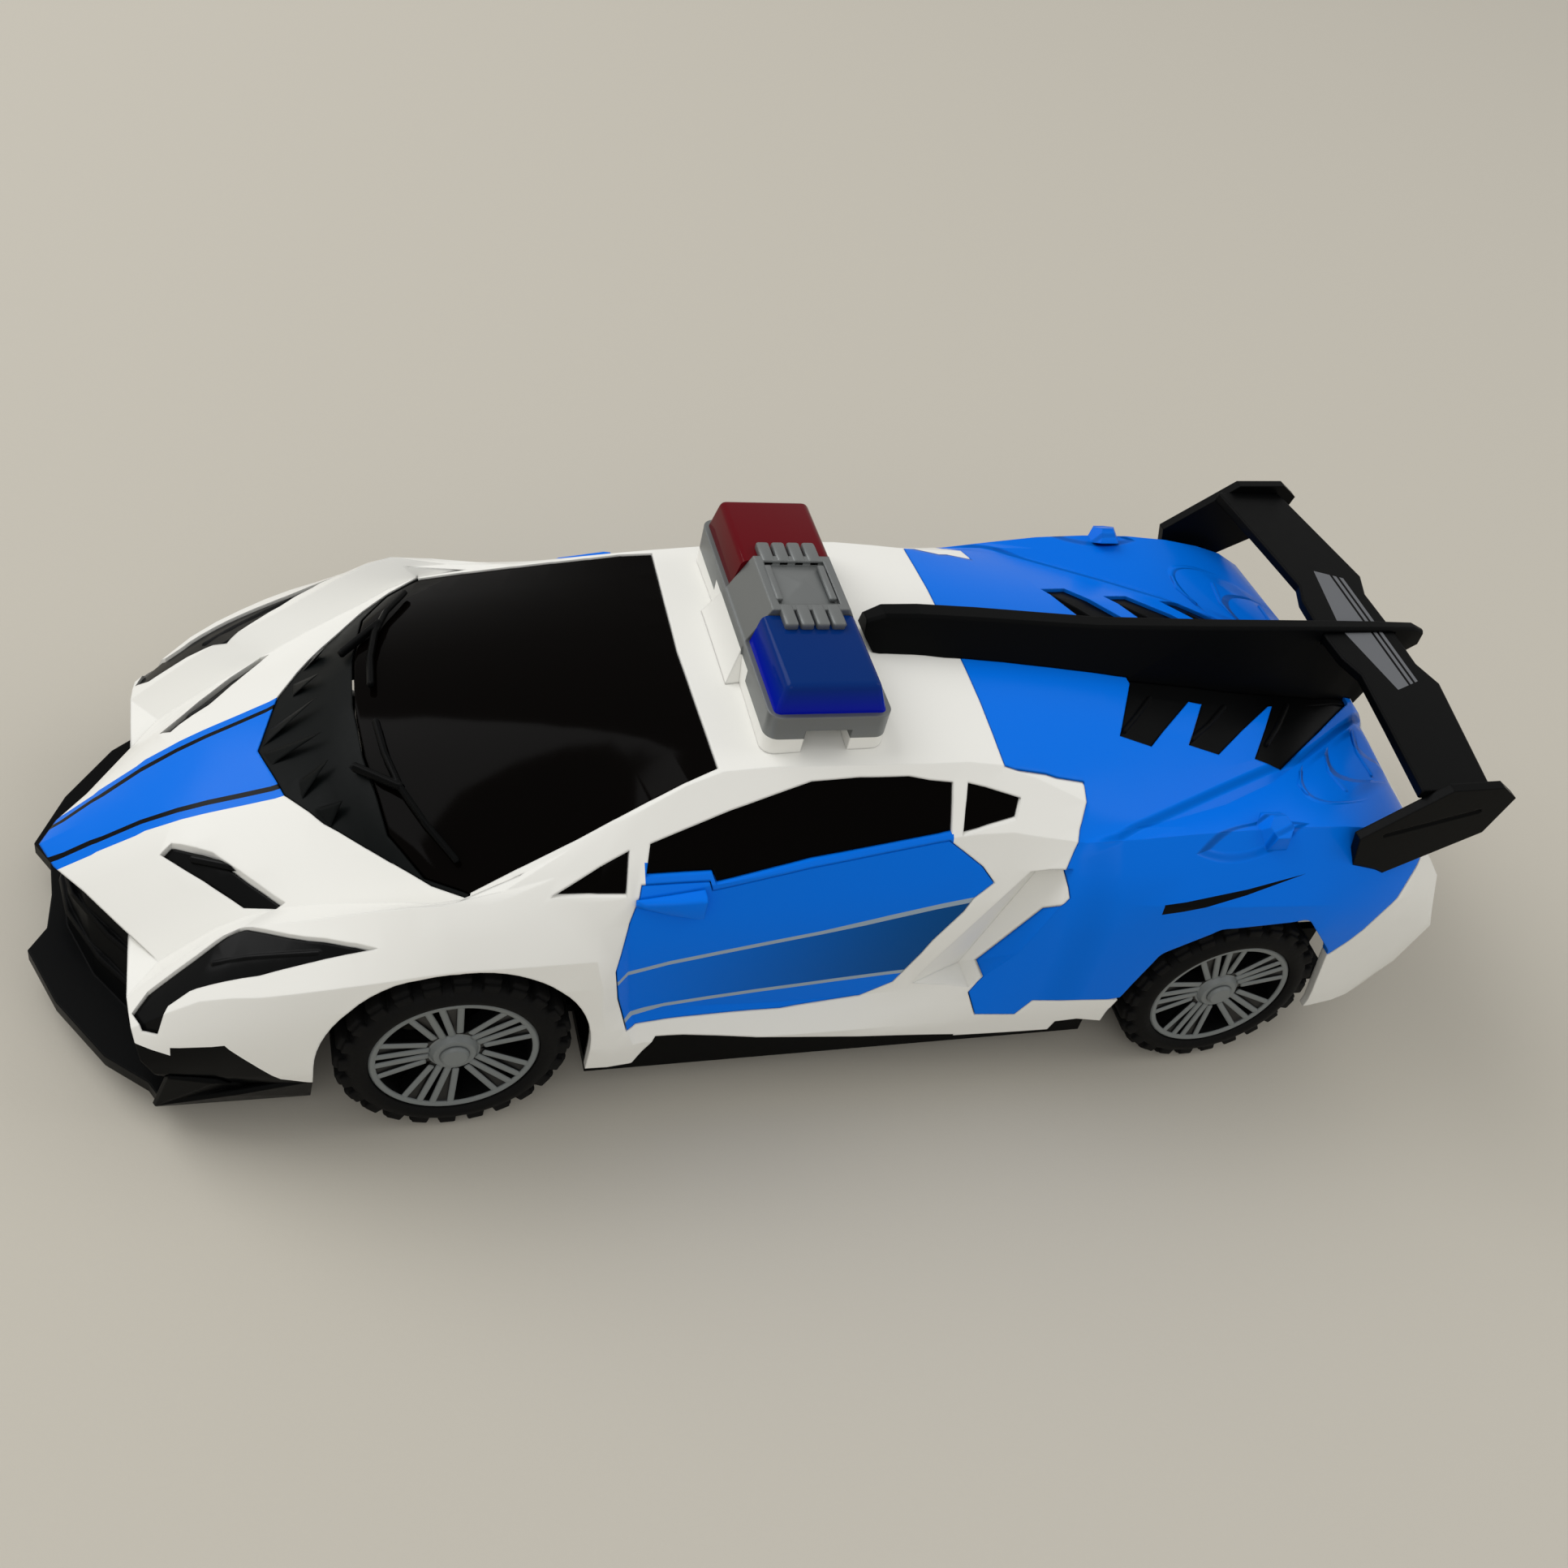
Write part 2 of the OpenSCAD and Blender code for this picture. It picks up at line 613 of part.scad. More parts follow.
module door_left() {
  color(blue) centred() door();
}

module door_right() {
  color(blue) centred() right_side() door();
}

glass_set = 0.4;
glass_back_t = 1;

module side_glass() {
  intersection() {
    skin(glass_set, wall + seam + glass_back_t / 2);
    union() {
      side_cut(main_pane, -seam);
      side_cut(front_pane, -seam);
      side_cut(rear_pane, -seam);
    }
  }
  intersection() {
    layer(wall + seam, wall + seam + glass_back_t);
    side_cut(glass_backing);
  }
}

module side_glass_left() {
  color(smoke) centred() side_glass();
}

module side_glass_right() {
  color(smoke) centred() right_side() side_glass();
}

module windshield() {
  color(smoke) centred()
    intersection() {
      skin(0.3, wall);
      top_cut(both_halves(screen_half), -seam);
    }
}

module cowl() {
  color(dark_grey) centred() {
    intersection() {
      skin(0.2, wall);
      top_cut(both_halves(cowl_half), -seam);
    }
    for (side = [0, 1])
      mirror([0, side, 0])
        for (w = cowl_wedges) wedge(w[0], w[1], w[2]);
  }
}

// Raised wedges that run back from the cowl's front edge: two foot points and a tip on the skin
cowl_wedges = [
  [[3.02, 0.05], [3.14, 0.26], [4.4, 0.23]], [[3.42, 0.82], [3.5, 0.6], [4.35, 0.55]],
  [[3.55, 0.97], [3.65, 1.2], [4.2, 1]]
];
wedge_rise = 1.3;

module wedge(a, b, tip) {
  foot = (below(a[0], a[1], wall / 2) + below(b[0], b[1], wall / 2)) / 2;
  peak = below(tip[0], tip[1], -wedge_rise);
  corners = [below(a[0], a[1], 0.2), below(b[0], b[1], 0.2), peak, foot];
  hull() polyhedron(corners, [[0, 1, 2], [0, 2, 3], [1, 3, 2], [0, 3, 1]]);
}

module wipers() {
  color(black) centred()
    for (side = [0, 1])
      mirror([0, side, 0]) {
        strand([for (v = [0.3 - 0.15 * side:0.35:1.8]) below(5.16, v, -0.8)], 0.7);
        bar(below(4.8, 0.7, -0.6), below(5.16, 1, -0.8), 0.9);
      }
}

// Rings of a mirror from front to rear: [station, line of its foot, reach at the top, reach at the foot]
mirror_rings = [
  [7.04, 3.14, 0.6, 0.4], [7.12, 3.18, 1.5, 0.8], [7.4, 3.33, 2.3, 1.2],
  [7.68, 3.46, 2.9, 1.5], [7.74, 3.47, 2.6, 1.3]
];
mirror_top = 3.03;
function mirror_ring(m) =
  let (high = below(m[0], mirror_top, -seam), low = below(m[0], m[1], -seam))
  [
    low, high, high + [0, 0.7 * m[2], 0.1], high + [0, m[2], -0.5],
    low + [0, m[3], 0.5], low + [0, 0.7 * m[3], 0]
  ];

module mirror_piece() {
  loft([for (m = mirror_rings) mirror_ring(m)]);
}

module mirror_left() {
  color(blue) centred() mirror_piece();
}

module mirror_right() {
  color(blue) centred() right_side() mirror_piece();
}

module headlight() {
  intersection() {
    skin(0.6, wall + 0.6);
    top_cut(lamp_outline, -seam, lamp_low);
  }
  // Rib along the lamp
  intersection() {
    top_cut(lamp_outline, -2 * seam, lamp_low);
    strand([for (u = [1.3:0.6:3.1]) below(u, 3.28 + 0.05 * u, 0.7)], 0.5);
  }
}

module headlight_left() {
  color(black) centred() headlight();
}

module headlight_right() {
  color(black) centred() right_side() headlight();
}

module hood_vent() {
  intersection() {
    skin(1, wall + 0.8);
    top_cut(vent_outline, -seam);
  }
  // Ridge along the vent
  intersection() {
    top_cut(vent_outline, -seam);
    strand([below(1.35, 1.2, 1), below(1.9, 1.45, 0.8), below(2.4, 1.8, 1)], 0.8);
  }
}

module hood_vent_left() {
  color(black) centred() hood_vent();
}

module hood_vent_right() {
  color(black) centred() right_side() hood_vent();
}

// Front bumper: splitter, grille wall and side blades
splitter_z = 5.6;
splitter_t = 2.6;
tongue_half = 29;
tongue_front = 113;
grille_low = [[138.5, 0], [137.8, 8], [133, 20], [124, 33], [120, 42]];
grille_high = [[137, 0], [134.5, 8], [128, 17], [117, 29], [116, 42]];
grille_top_z = 21;
side_blade = [
  [123.4, 46.2, 5.8], [98.2, 46.6, 5.8], [98.6, 50.6, 15.2],
  [111, 50.2, 12.6], [114, 49.6, 15.6], [121, 47.4, 15]
];

module front_bumper() {
  color(black) centred() {
    difference() {
      union() {
        translate([0, 0, splitter_z])
          linear_extrude(splitter_t)
            polygon(plan_points(both_halves(splitter_half)));
        for (side = [1, -1])
          for (i = [0:1])
            hull() {
              bar_point(side_blade[0], side);
              bar_point(side_blade[1], side);
              bar_point(side_blade[2 + 2 * i], side);
              bar_point(side_blade[3 + 2 * i], side);
            }
      }
      form(-seam);
      translate([0, 0, -1]) linear_extrude(axle_z) offset(delta = seam) floor_plan();
      front_arch();
    }
    intersection() {
      inside(wall + seam);
      union() {
        for (side = [1, -1])
          for (i = [0:len(grille_low) - 2]) {
            grille_wall(i, side);
            for (level = [0.35, 0.7]) grille_slat(i, side, level);
          }
      }
    }
  }
}
module bar_point(p, side) {
  translate(d3([p[0], side * p[1], p[2]])) sphere(r = 0.8, $fn = 6);
}
function grille_point(i, level, out) =
  let (low = grille_low[i], high = grille_high[i], z = splitter_z + splitter_t - 1)
  [
    low[0] + (high[0] - low[0]) * level + out, low[1] + (high[1] - low[1]) * level,
    z + (grille_top_z - z) * level
  ];
module grille_wall(i, side) {
  hull()
    for (k = [0, 1])
      for (level = [0, 1])
        bar_point(grille_point(i + k, level, 0), side);
}
module grille_slat(i, side, level) {
  hull()
    for (k = [0, 1])
      bar_point(grille_point(i + k, level, 1.2), side);
}

// Black panel under the louvres, with a raised blade along each finger
louvre_set = 0.7;

// Blades as points on the skin, from the middle outwards
louvre_blades = [
  [[13.02, 0.5], [12.8, 0.8], [12.62, 1.02]], [[13.75, 0.55], [13.5, 0.85],
  [13.3, 1.06]], [[14.6, 0.6], [14.3, 0.95], [14.05, 1.25]]
];
module louvre_region(grow) {
  for (side = [0, 1]) mirror([0, side, 0]) louvre_cut(grow);
}

module louvre_panel() {
  color(black) centred() {
    intersection() {
      skin(louvre_set, wall + 0.8);
      louvre_region(-seam);
    }
    // A raised blade along the front of each finger
    intersection() {
      louvre_region(-seam);
      for (side = [0, 1])
        mirror([0, side, 0])
          for (blade = louvre_blades) strand([for (p = blade) below(p[0], p[1], louvre_set)], 0.55);
    }
  }
}

module fin_slice(s, grow) {
  translate([s[0] * kx, 0, 0])
    rotate([90, 0, 90])
      linear_extrude(0.05)
        offset(delta = grow)
          polygon([
            [-s[4] * ky, s[1] * kz], [s[4] * ky, s[1] * kz], [s[3] * ky, (s[1] * 0.35 + s[2] * 0.65) * kz],
            [s[3] * ky, s[2] * kz - 0.5], [s[3] * ky - 0.5, s[2] * kz], [-s[3] * ky + 0.5, s[2] * kz],
            [-s[3] * ky, s[2] * kz - 0.5], [-s[3] * ky, (s[1] * 0.35 + s[2] * 0.65) * kz]
          ]);
}

module fin_body(grow) {
  for (i = [0:len(fin_slices) - 2])
    hull() {
      fin_slice(fin_slices[i], grow);
      fin_slice(fin_slices[i + 1], grow);
    }
}

module fin() {
  color(black) centred()
    difference() {
      fin_body(0);
      // The foot follows the skin, and drops to the panel between the louvres
      difference() {
        form(-seam / 2);
        top_cut(both_halves(louvre_spine), -2 * seam);
      }
      form(louvre_set - seam / 2);
      translate([0, 0, wing_top - wing_t - seam])
        linear_extrude(wing_t + 2 * seam)
          offset(delta = seam) polygon(plan_points(both_halves(wing_half)));
      light_bar_block(seam);
    }
}

module rear_wing() {
  color(black) centred()
    translate([0, 0, wing_top - wing_t])
      linear_extrude(wing_t)
        polygon(plan_points(both_halves(wing_half)));
}

module end_plate() {
  difference() {
    translate([0, wing_end_y * ky + seam / 2 + wing_t, 0])
      rotate([90, 0, 0])
        linear_extrude(wing_t) polygon(side_points(end_plate_outline));
    form(-seam / 2);
    // Groove pressed in along the plate
    strand([
      for (i = [0:7]) d3([-95 - 2.6 * i, wing_end_y, 61 + 0.8 * i]) + [0, wing_t + seam / 2 + 0.3, 0]
    ], 0.7);
  }
}

module end_plate_left() {
  color(black) centred() end_plate();
}

module end_plate_right() {
  color(black) centred() right_side() end_plate();
}

// Tail panel set into the open rear end
tail_inset = 8;
tail_x = spine[spans][0] + tail_inset;
tail_t = 2;
tail_low = 14.5;
tail_lamp = [18.4, 6.4];
tail_lamp_at = [27, 36];
tail_lamp_out = 1.2;
slat_count = 6;
slat_pitch = 2.8;
slat_low = 18;
slat_half = 32;
pipe_r = 4.2;
pipe_wall = 1;
pipe_len = 5;
pipe_y = 6;
// The pipes stay clear of the skin at the rear edge
pipe_z = rail[spans][2] * kz - 2 * wall - pipe_r;

module tail_slab(back, front, grow) {
  translate([back * kx, -body_w / 2, tail_low * kz - grow])
    cube([(front - back) * kx, body_w, roof_h]);
}

module tail_panel() {
  color(black) centred() {
    difference() {
      intersection() {
        inside(wall + seam);
        tail_slab(tail_x - tail_t, tail_x, 0);
      }
      for (side = [1, -1])
        translate([0, side * tail_lamp_at[0] * ky, 0]) tail_lamp_block(seam, tail_inset);
    }
    // Slats across the panel and the two tail pipes
    for (i = [0:slat_count - 1])
      bar(slat_end(i, 1), slat_end(i, -1), 0.8);
    for (side = [1, -1])
      translate([(tail_x - tail_t + 0.5) * kx, side * pipe_y, pipe_z])
        rotate([0, -90, 0])
          difference() {
            cylinder(r = pipe_r, h = pipe_len, $fn = 40);
            translate([0, 0, 1]) cylinder(r = pipe_r - pipe_wall, h = pipe_len, $fn = 40);
          }
  }
}
function slat_end(i, side) = d3([tail_x - tail_t, side * slat_half, slat_low + slat_pitch * i]);

module tail_lamp_block(grow, reach) {
  translate([(tail_x - tail_t) * kx - reach, -tail_lamp[0] / 2 - grow, tail_lamp_at[1] * kz - grow])
    cube([tail_t * kx + reach + (grow > 0 ? 1 : 0), tail_lamp[0] + 2 * grow, tail_lamp[1] + 2 * grow]);
}

module tail_lamp() {
  translate([0, tail_lamp_at[0] * ky, 0]) tail_lamp_block(0, tail_lamp_out);
}

module tail_lamp_left() {
  color([0.55, 0.02, 0.03]) centred() tail_lamp();
}

module tail_lamp_right() {
  color([0.55, 0.02, 0.03]) centred() right_side() tail_lamp();
}

// Chassis

chassis_half_w = 47.8;
well_half_w = wheel_in_y - 2;
well_reach = tyre_r + 4.5;
tail_half_w = 40;
chassis_back = -112;

module floor_plan() {
  edge = concat(
    [[tongue_front, tongue_half], [front_axle_x + well_reach, tongue_half]],
    [[front_axle_x + well_reach, well_half_w]],
    [[front_axle_x - well_reach, well_half_w], [front_axle_x - well_reach, chassis_half_w]],
    [[rear_axle_x + well_reach, chassis_half_w], [rear_axle_x + well_reach, well_half_w]],
    [[rear_axle_x - well_reach, well_half_w], [rear_axle_x - well_reach, tail_half_w]],
    [[chassis_back * kx, tail_half_w]]
  );
  polygon(concat(edge, [for (i = [len(edge) - 1:-1:0]) [edge[i][0], -edge[i][1]]]));
}

module bearing(x, side) {
  translate([x, side * well_half_w, axle_z])
    rotate([90 * side, 0, 0]) children();
}

bearing_len = 5;
bearing_r = axle_r + 2;
liner_half = 14;

module chassis() {
  color(black) centred()
    difference() {
      union() {
        translate([0, 0, ground_gap]) linear_extrude(floor_t) floor_plan();
        for (side = [1, -1]) {
          // Side walls inside the sills
          mirror_to(side)
            translate([rear_axle_x + well_reach, chassis_half_w - rib_t, ground_gap])
              cube([wheelbase - 2 * well_reach, rib_t, 11]);
          for (x = [front_axle_x, rear_axle_x]) {
            // Wheel well wall with its axle bearing
            mirror_to(side)
              translate([x - liner_half, well_half_w - rib_t, ground_gap])
                cube([2 * liner_half, rib_t, axle_z + 5 - ground_gap]);
            bearing(x, side) cylinder(r = bearing_r, h = bearing_len, $fn = 48);
          }
          // Blades of the diffuser
          for (y = [12, 30])
            mirror_to(side)
              translate([chassis_back * kx, y, ground_gap]) cube([16, rib_t, 7]);
        }
        // Seat of the battery door's tab, with the boss for its screw
        translate([box_front, -door_tab - door_gap - rib_t, ground_gap])
          cube([
            seat_end + rib_t - box_front, 2 * (door_tab + door_gap + rib_t), seat_z + rib_t - ground_gap
          ]);
        translate([door_screw_x, 0, floor_top]) cylinder(r = boss_r, h = boss_h, $fn = 48);
        // Battery box
        translate([box_back - rib_t, -box_half_w - rib_t, ground_gap])
          cube([box_len + 2 * rib_t, 2 * (box_half_w + rib_t), box_top + rib_t - ground_gap]);
      }
      for (side = [1, -1])
        for (x = [front_axle_x, rear_axle_x])
          bearing(x, side)
            translate([0, 0, -1]) cylinder(r = axle_r + run_gap, h = bearing_len + 2, $fn = 48);
      translate([box_back, -box_half_w, ground_gap - 1])
        cube([box_len, 2 * box_half_w, box_top - ground_gap + 1]);
      // Space and screw hole of the battery door's tab
      translate([box_front - 1, -door_tab - door_gap, ground_gap - 1])
        cube([seat_end - box_front + 1, 2 * (door_tab + door_gap), seat_z - ground_gap + 1]);
      translate([door_screw_x, 0, 0]) cylinder(r = screw_r + 0.05, h = 20, $fn = 24);
      translate([switch_x - knob_travel_half, -stem_d / 2 - slot_gap, 0])
        cube([2 * knob_travel_half, stem_d + 2 * slot_gap, 20]);
      // Slots in front of the loudspeaker
      for (i = [-2:2])
        translate([speaker_x + 3.4 * i - 0.6, -7, 0]) cube([1.2, 14, floor_top - 0.6]);
      for (p = [nose_post, tail_post])
        for (side = [1, -1])
          translate([p[0] * kx, side * p[1] * ky, 0]) {
            cylinder(r = screw_r + 0.15, h = 20, $fn = 32);
            cylinder(r = head_r + 0.3, h = ground_gap + 1, $fn = 32);
          }
    }
}

module mirror_to(side) {
  if (side > 0) children();
  else mirror([0, 1, 0]) children();
}

module battery_door() {
  color(black) centred()
    difference() {
      union() {
        translate([box_back + door_gap, -box_half_w + door_gap, ground_gap])
          cube([box_len - 2 * door_gap, 2 * (box_half_w - door_gap), floor_t]);
        translate([box_front - 2, -door_tab, floor_top - tab_t])
          cube([tab_front - box_front + 2, 2 * door_tab, tab_t]);
      }
      translate([door_screw_x, 0, 0]) cylinder(r = screw_r + 0.15, h = 20, $fn = 32);
      // Finger grip
      for (i = [0:3])
        translate([box_back + 6 + 3 * i, -10, ground_gap - 1]) cube([1.4, 20, 1.6]);
    }
}

module screw(len) {
  translate([0, 0, -head_h]) cylinder(r = head_r, h = head_h, $fn = 32);
  cylinder(r = screw_r, h = len, $fn = 32);
}

module door_screw() {
  color(steel) centred()
    translate([door_screw_x, 0, floor_top - tab_t]) screw(boss_h);
}

module body_screws() {
  color(steel) centred()
    for (p = [nose_post, tail_post])
      for (side = [1, -1])
        translate([p[0] * kx, side * p[1] * ky, ground_gap + 1]) screw(10);
}

// Wheels

module axle(x) {
  translate([x, wheel_face_y - 4, axle_z])
    rotate([90, 0, 0]) cylinder(r = axle_r, h = 2 * (wheel_face_y - 4), $fn = 48);
}

module front_axle() {
  color(steel) centred() axle(front_axle_x);
}

module rear_axle() {
  color(steel) centred() axle(rear_axle_x);
}

// A wheel's pieces are drawn on Z, with the outer face up at Z = 0
fit_gap = 0.03;

module tyre() {
  shoulder_c = 1.6;
  difference() {
    rotate_extrude($fn = 96)
      polygon([
        [rim_r + fit_gap, -0.6], [rim_r + 1.2, 0], [rim_r + 2.6, -0.3], [tyre_r - shoulder_c, -0.9],
        [tyre_r, -0.9 - shoulder_c], [tyre_r, -tyre_w + 0.9 + shoulder_c],
        [tyre_r - shoulder_c, -tyre_w + 0.9],
        [rim_r + 2.6, -tyre_w + 0.3], [rim_r + 1.2, -tyre_w], [rim_r + fit_gap, -tyre_w + 0.6]
      ]);
    for (i = [0:lug_count - 1])
      for (half = [0, 1])
        rotate([0, 0, (i + half / 2) * 360 / lug_count])
          translate([tyre_r - lug_depth, -lug_groove / 2, half ? -tyre_w - 1 : -tyre_w * 0.42])
            cube([lug_depth + 1, lug_groove, tyre_w * 0.42 + 1]);
    rotate_extrude($fn = 96)
      translate([tyre_r - lug_depth * 0.7, -tyre_w / 2 - 0.5]) square([lug_depth + 1, 1]);
  }
}
lug_groove = 1.9;

module rim() {
  lip = 1.3;
  difference() {
    union() {
      rotate_extrude($fn = 96)
        polygon([
          [rim_r - lip, -0.9], [rim_r - 0.4, -0.7], [rim_r, -1.1],
          [rim_r, -tyre_w + 0.8], [rim_r - lip, -tyre_w + 0.8]
        ]);
      intersection() {
        translate([0, 0, -5]) linear_extrude(4.2) spokes();
        rotate_extrude($fn = 96)
          polygon([
            [0, -6], [rim_r - 0.5, -6], [rim_r - 0.5, -1.2], [7, -2.5], [4.2, -2.2], [3.6, -1.2], [0, -1.2]
          ]);
      }
      translate([0, 0, -tyre_w + 3]) cylinder(r = axle_r + 2.2, h = tyre_w - 6, $fn = 48);
      translate([0, 0, -tyre_w + 0.8]) cylinder(r = axle_r + 2.2, h = 3, $fn = 48);
    }
    translate([0, 0, -tyre_w - 1]) cylinder(r = axle_r + fit_gap, h = tyre_w - 3, $fn = 48);
    // Slot along each pair of spokes
    for (i = [0:4])
      rotate([0, 0, 72 * i])
        translate([6, -0.35, -3.4]) cube([5.6, 0.7, 4]);
  }
}

module spokes() {
  circle(r = 4.4, $fn = 48);
  for (i = [0:4])
    rotate(72 * i)
      for (side = [1, -1])
        polygon([
          [2, side * 0.2], [rim_r - 0.6, side * 1.4],
          [rim_r - 0.6, side * 5.2], [9, side * 3.3], [3.4, side * 2.6]
        ]);
}

module wheel_place(x, side) {
  translate([x, side * wheel_face_y, axle_z])
    mirror_to(side) rotate([-90, 0, 0]) children();
}

module tyre_front_left() {
  color(black) centred() wheel_place(front_axle_x, 1) tyre();
}

module tyre_front_right() {
  color(black) centred() wheel_place(front_axle_x, -1) tyre();
}

module tyre_rear_left() {
  color(black) centred() wheel_place(rear_axle_x, 1) tyre();
}

module tyre_rear_right() {
  color(black) centred() wheel_place(rear_axle_x, -1) tyre();
}

module rim_front_left() {
  color(rim_grey) centred() wheel_place(front_axle_x, 1) rim();
}

module rim_front_right() {
  color(rim_grey) centred() wheel_place(front_axle_x, -1) rim();
}

module rim_rear_left() {
  color(rim_grey) centred() wheel_place(rear_axle_x, 1) rim();
}

module rim_rear_right() {
  color(rim_grey) centred() wheel_place(rear_axle_x, -1) rim();
}

// Gear train, drawn in the X-Z plane and extruded across the car

function roll(a) = tan(a) * 180 / PI - a;
function flank(r, base, half) = half + roll(pressure_angle) - roll(acos(min(1, base / max(r, base))));
flank_steps = 4;

module gear_outline(teeth, turn) {
  pitch = gear_m * teeth / 2;
  base = pitch * cos(pressure_angle);
  tip = pitch + addendum * gear_m;
  root = pitch - dedendum * gear_m;
  half = 90 / teeth - backlash / 2 / pitch * 180 / PI;
  low = max(base, root);
  radii = concat([root], [for (i = [0:flank_steps]) low + (tip - low) * i / flank_steps]);
  polygon([
    for (i = [0:teeth - 1])
      let (mid = turn + 360 * i / teeth)
      each concat(
        [for (r = radii) r * [cos(mid - flank(r, base, half)), sin(mid - flank(r, base, half))]],
        [for (k = [len(radii) - 1:-1:0])
          let (r = radii[k])
          r * [cos(mid + flank(r, base, half)), sin(mid + flank(r, base, half))]]
      )
  ]);
}

module gear(x, z, y, width, teeth, turn, bore) {
  translate([x, y + width, z])
    rotate([90, 0, 0])
      linear_extrude(width)
        difference() {
          gear_outline(teeth, turn);
          circle(r = bore, $fn = 48);
        }
}

module axle_gear() {
  color([0.9, 0.9, 0.86]) centred()
    gear(rear_axle_x, axle_z, small_y + 0.5, narrow_w, axle_teeth, pin_angle, axle_r + fit_gap);
}

module compound_gear() {
  color([0.9, 0.9, 0.86]) centred() {
    gear(pin_x, pin_z, small_y, wide_w, small_teeth, pin_angle + 180 + 180 / small_teeth, pin_r + run_gap);
    gear(pin_x, pin_z, large_y, narrow_w, large_teeth, motor_angle, pin_r + run_gap);
  }
}

module gear_pin() {
  color(steel) centred()
    translate([pin_x, cover_y + plate_t, pin_z])
      rotate([90, 0, 0]) cylinder(r = pin_r, h = cover_y + plate_t - plate_y, $fn = 48);
}

module motor_pinion() {
  color([0.8, 0.65, 0.3]) centred() {
    gear(
      motor_x, motor_z, large_y, narrow_w, small_teeth,
      motor_angle + 180 + 180 / small_teeth, 0.01 + pin_r / 2
    );
    translate([motor_x, large_y, motor_z])
      rotate([90, 0, 0]) cylinder(r = pin_r, h = large_y - plate_y + 8, $fn = 48);
  }
}

motor_flat = 15.2;

module motor_case() {
  color(steel) centred()
    translate([motor_x, plate_y, motor_z])
      rotate([90, 0, 0])
        difference() {
          intersection() {
            cylinder(r = motor_r, h = motor_len, $fn = 64);
            translate([-motor_r, -motor_flat / 2, 0]) cube([2 * motor_r, motor_flat, motor_len]);
          }
          translate([0, 0, -1]) cylinder(r = pin_r + run_gap, h = 10, $fn = 48);
        }
}

module gearbox_holes(pin_gap) {
  translate([rear_axle_x, 0, axle_z]) rotate([-90, 0, 0]) cylinder(r = axle_r + run_gap, h = 60, $fn = 48);
  translate([pin_x, 0, pin_z]) rotate([-90, 0, 0]) cylinder(r = pin_r + pin_gap, h = 60, $fn = 48);
}

module gearbox_left() {
  color([0.85, 0.85, 0.83]) centred()
    difference() {
      translate([gearbox_back, plate_y + plate_t, floor_top])
        cube([gearbox_front - gearbox_back, cover_y - plate_y, gearbox_top - floor_top]);
      translate([gearbox_back + plate_t, plate_y, floor_top + 0.4])
        cube([
          gearbox_front - gearbox_back - 2 * plate_t, cover_y - plate_y,
          gearbox_top - floor_top - plate_t - 0.4
        ]);
      gearbox_holes(fit_gap);
    }
}

module gearbox_right() {
  color([0.85, 0.85, 0.83]) centred()
    difference() {
      translate([gearbox_back, plate_y, floor_top])
        cube([gearbox_front - gearbox_back, plate_t, gearbox_top - floor_top]);
      gearbox_holes(fit_gap);
      translate([motor_x, 0, motor_z]) rotate([-90, 0, 0]) cylinder(r = pin_r + 1, h = 60, $fn = 48);
    }
}

// Power, light and sound

module cell() {
  nub = 1;
  cylinder(r = cell_d / 2, h = cell_len - nub, $fn = 64);
  cylinder(r = 2.75, h = cell_len, $fn = 48);
}

function cell_y(i) = (i - (cell_count - 1) / 2) * cell_pitch;
function cell_way(i) = i % 2 == 0 ? 1 : -1;
cell_mid = box_back + box_len / 2;

module at_cell(i) {
  translate([cell_mid, cell_y(i), cell_z]) mirror([cell_way(i) > 0 ? 0 : 1, 0, 0]) children();
}

module cells() {
  color([0.2, 0.45, 0.25]) centred()
    for (i = [0:cell_count - 1])
      at_cell(i)
        translate([box_len / 2 - contact_t - 0.2 - cell_len, 0, 0]) rotate([0, 90, 0]) cell();
}

module contacts() {
  color(steel) centred()
    for (i = [0:cell_count - 1])
      at_cell(i) {
        translate([box_len / 2 - contact_t - 0.1, -5, -5]) cube([contact_t, 10, 10]);
        translate([-box_len / 2 + 0.1, -5, -5]) cube([contact_t, 10, 10]);
        translate([-box_len / 2 + 0.1 + contact_t, 0, 0])
          rotate([0, 90, 0]) cylinder(r1 = 4.5, r2 = 2.5, h = spring_h - 0.1, $fn = 32);
      }
}

module switch_body() {
  color(silver) centred()
    difference() {
      translate([switch_x - switch_len / 2, -switch_w / 2, floor_top])
        cube([switch_len, switch_w, switch_h]);
      translate([switch_x - knob_travel_half, -stem_d / 2 - slot_gap, floor_top - 1])
        cube([2 * knob_travel_half, stem_d + 2 * slot_gap, 3]);
    }
}

module switch_knob() {
  color(silver) centred() {
    translate([switch_x - switch_travel / 2 - stem_d / 2, -stem_d / 2, ground_gap - knob_h])
      cube([stem_d, stem_d, knob_h + floor_t + 1.7]);
    translate([switch_x - switch_travel / 2 - knob_d / 2, -knob_d, ground_gap - knob_h])
      cube([knob_d, 2 * knob_d, knob_h - 0.2]);
  }
}

board_t = 1.2;
board_len = 36;
board_w = 28;
chip = [10, 6, 1.6];
socket = [4, 6, 2];
capacitor_r = 3;
capacitor_h = 7;

module circuit_board() {
  color([0.1, 0.4, 0.2]) centred()
    translate([cell_mid - board_len / 2, -board_w / 2, box_top + rib_t]) {
      cube([board_len, board_w, board_t]);
      translate([board_len * 0.17, board_w * 0.2, board_t]) cube(chip);
      translate([board_len * 0.6, board_w * 0.3, board_t])
        cylinder(r = capacitor_r, h = capacitor_h, $fn = 32);
      translate([board_len * 0.75, board_w * 0.65, board_t]) cube(socket);
    }
}

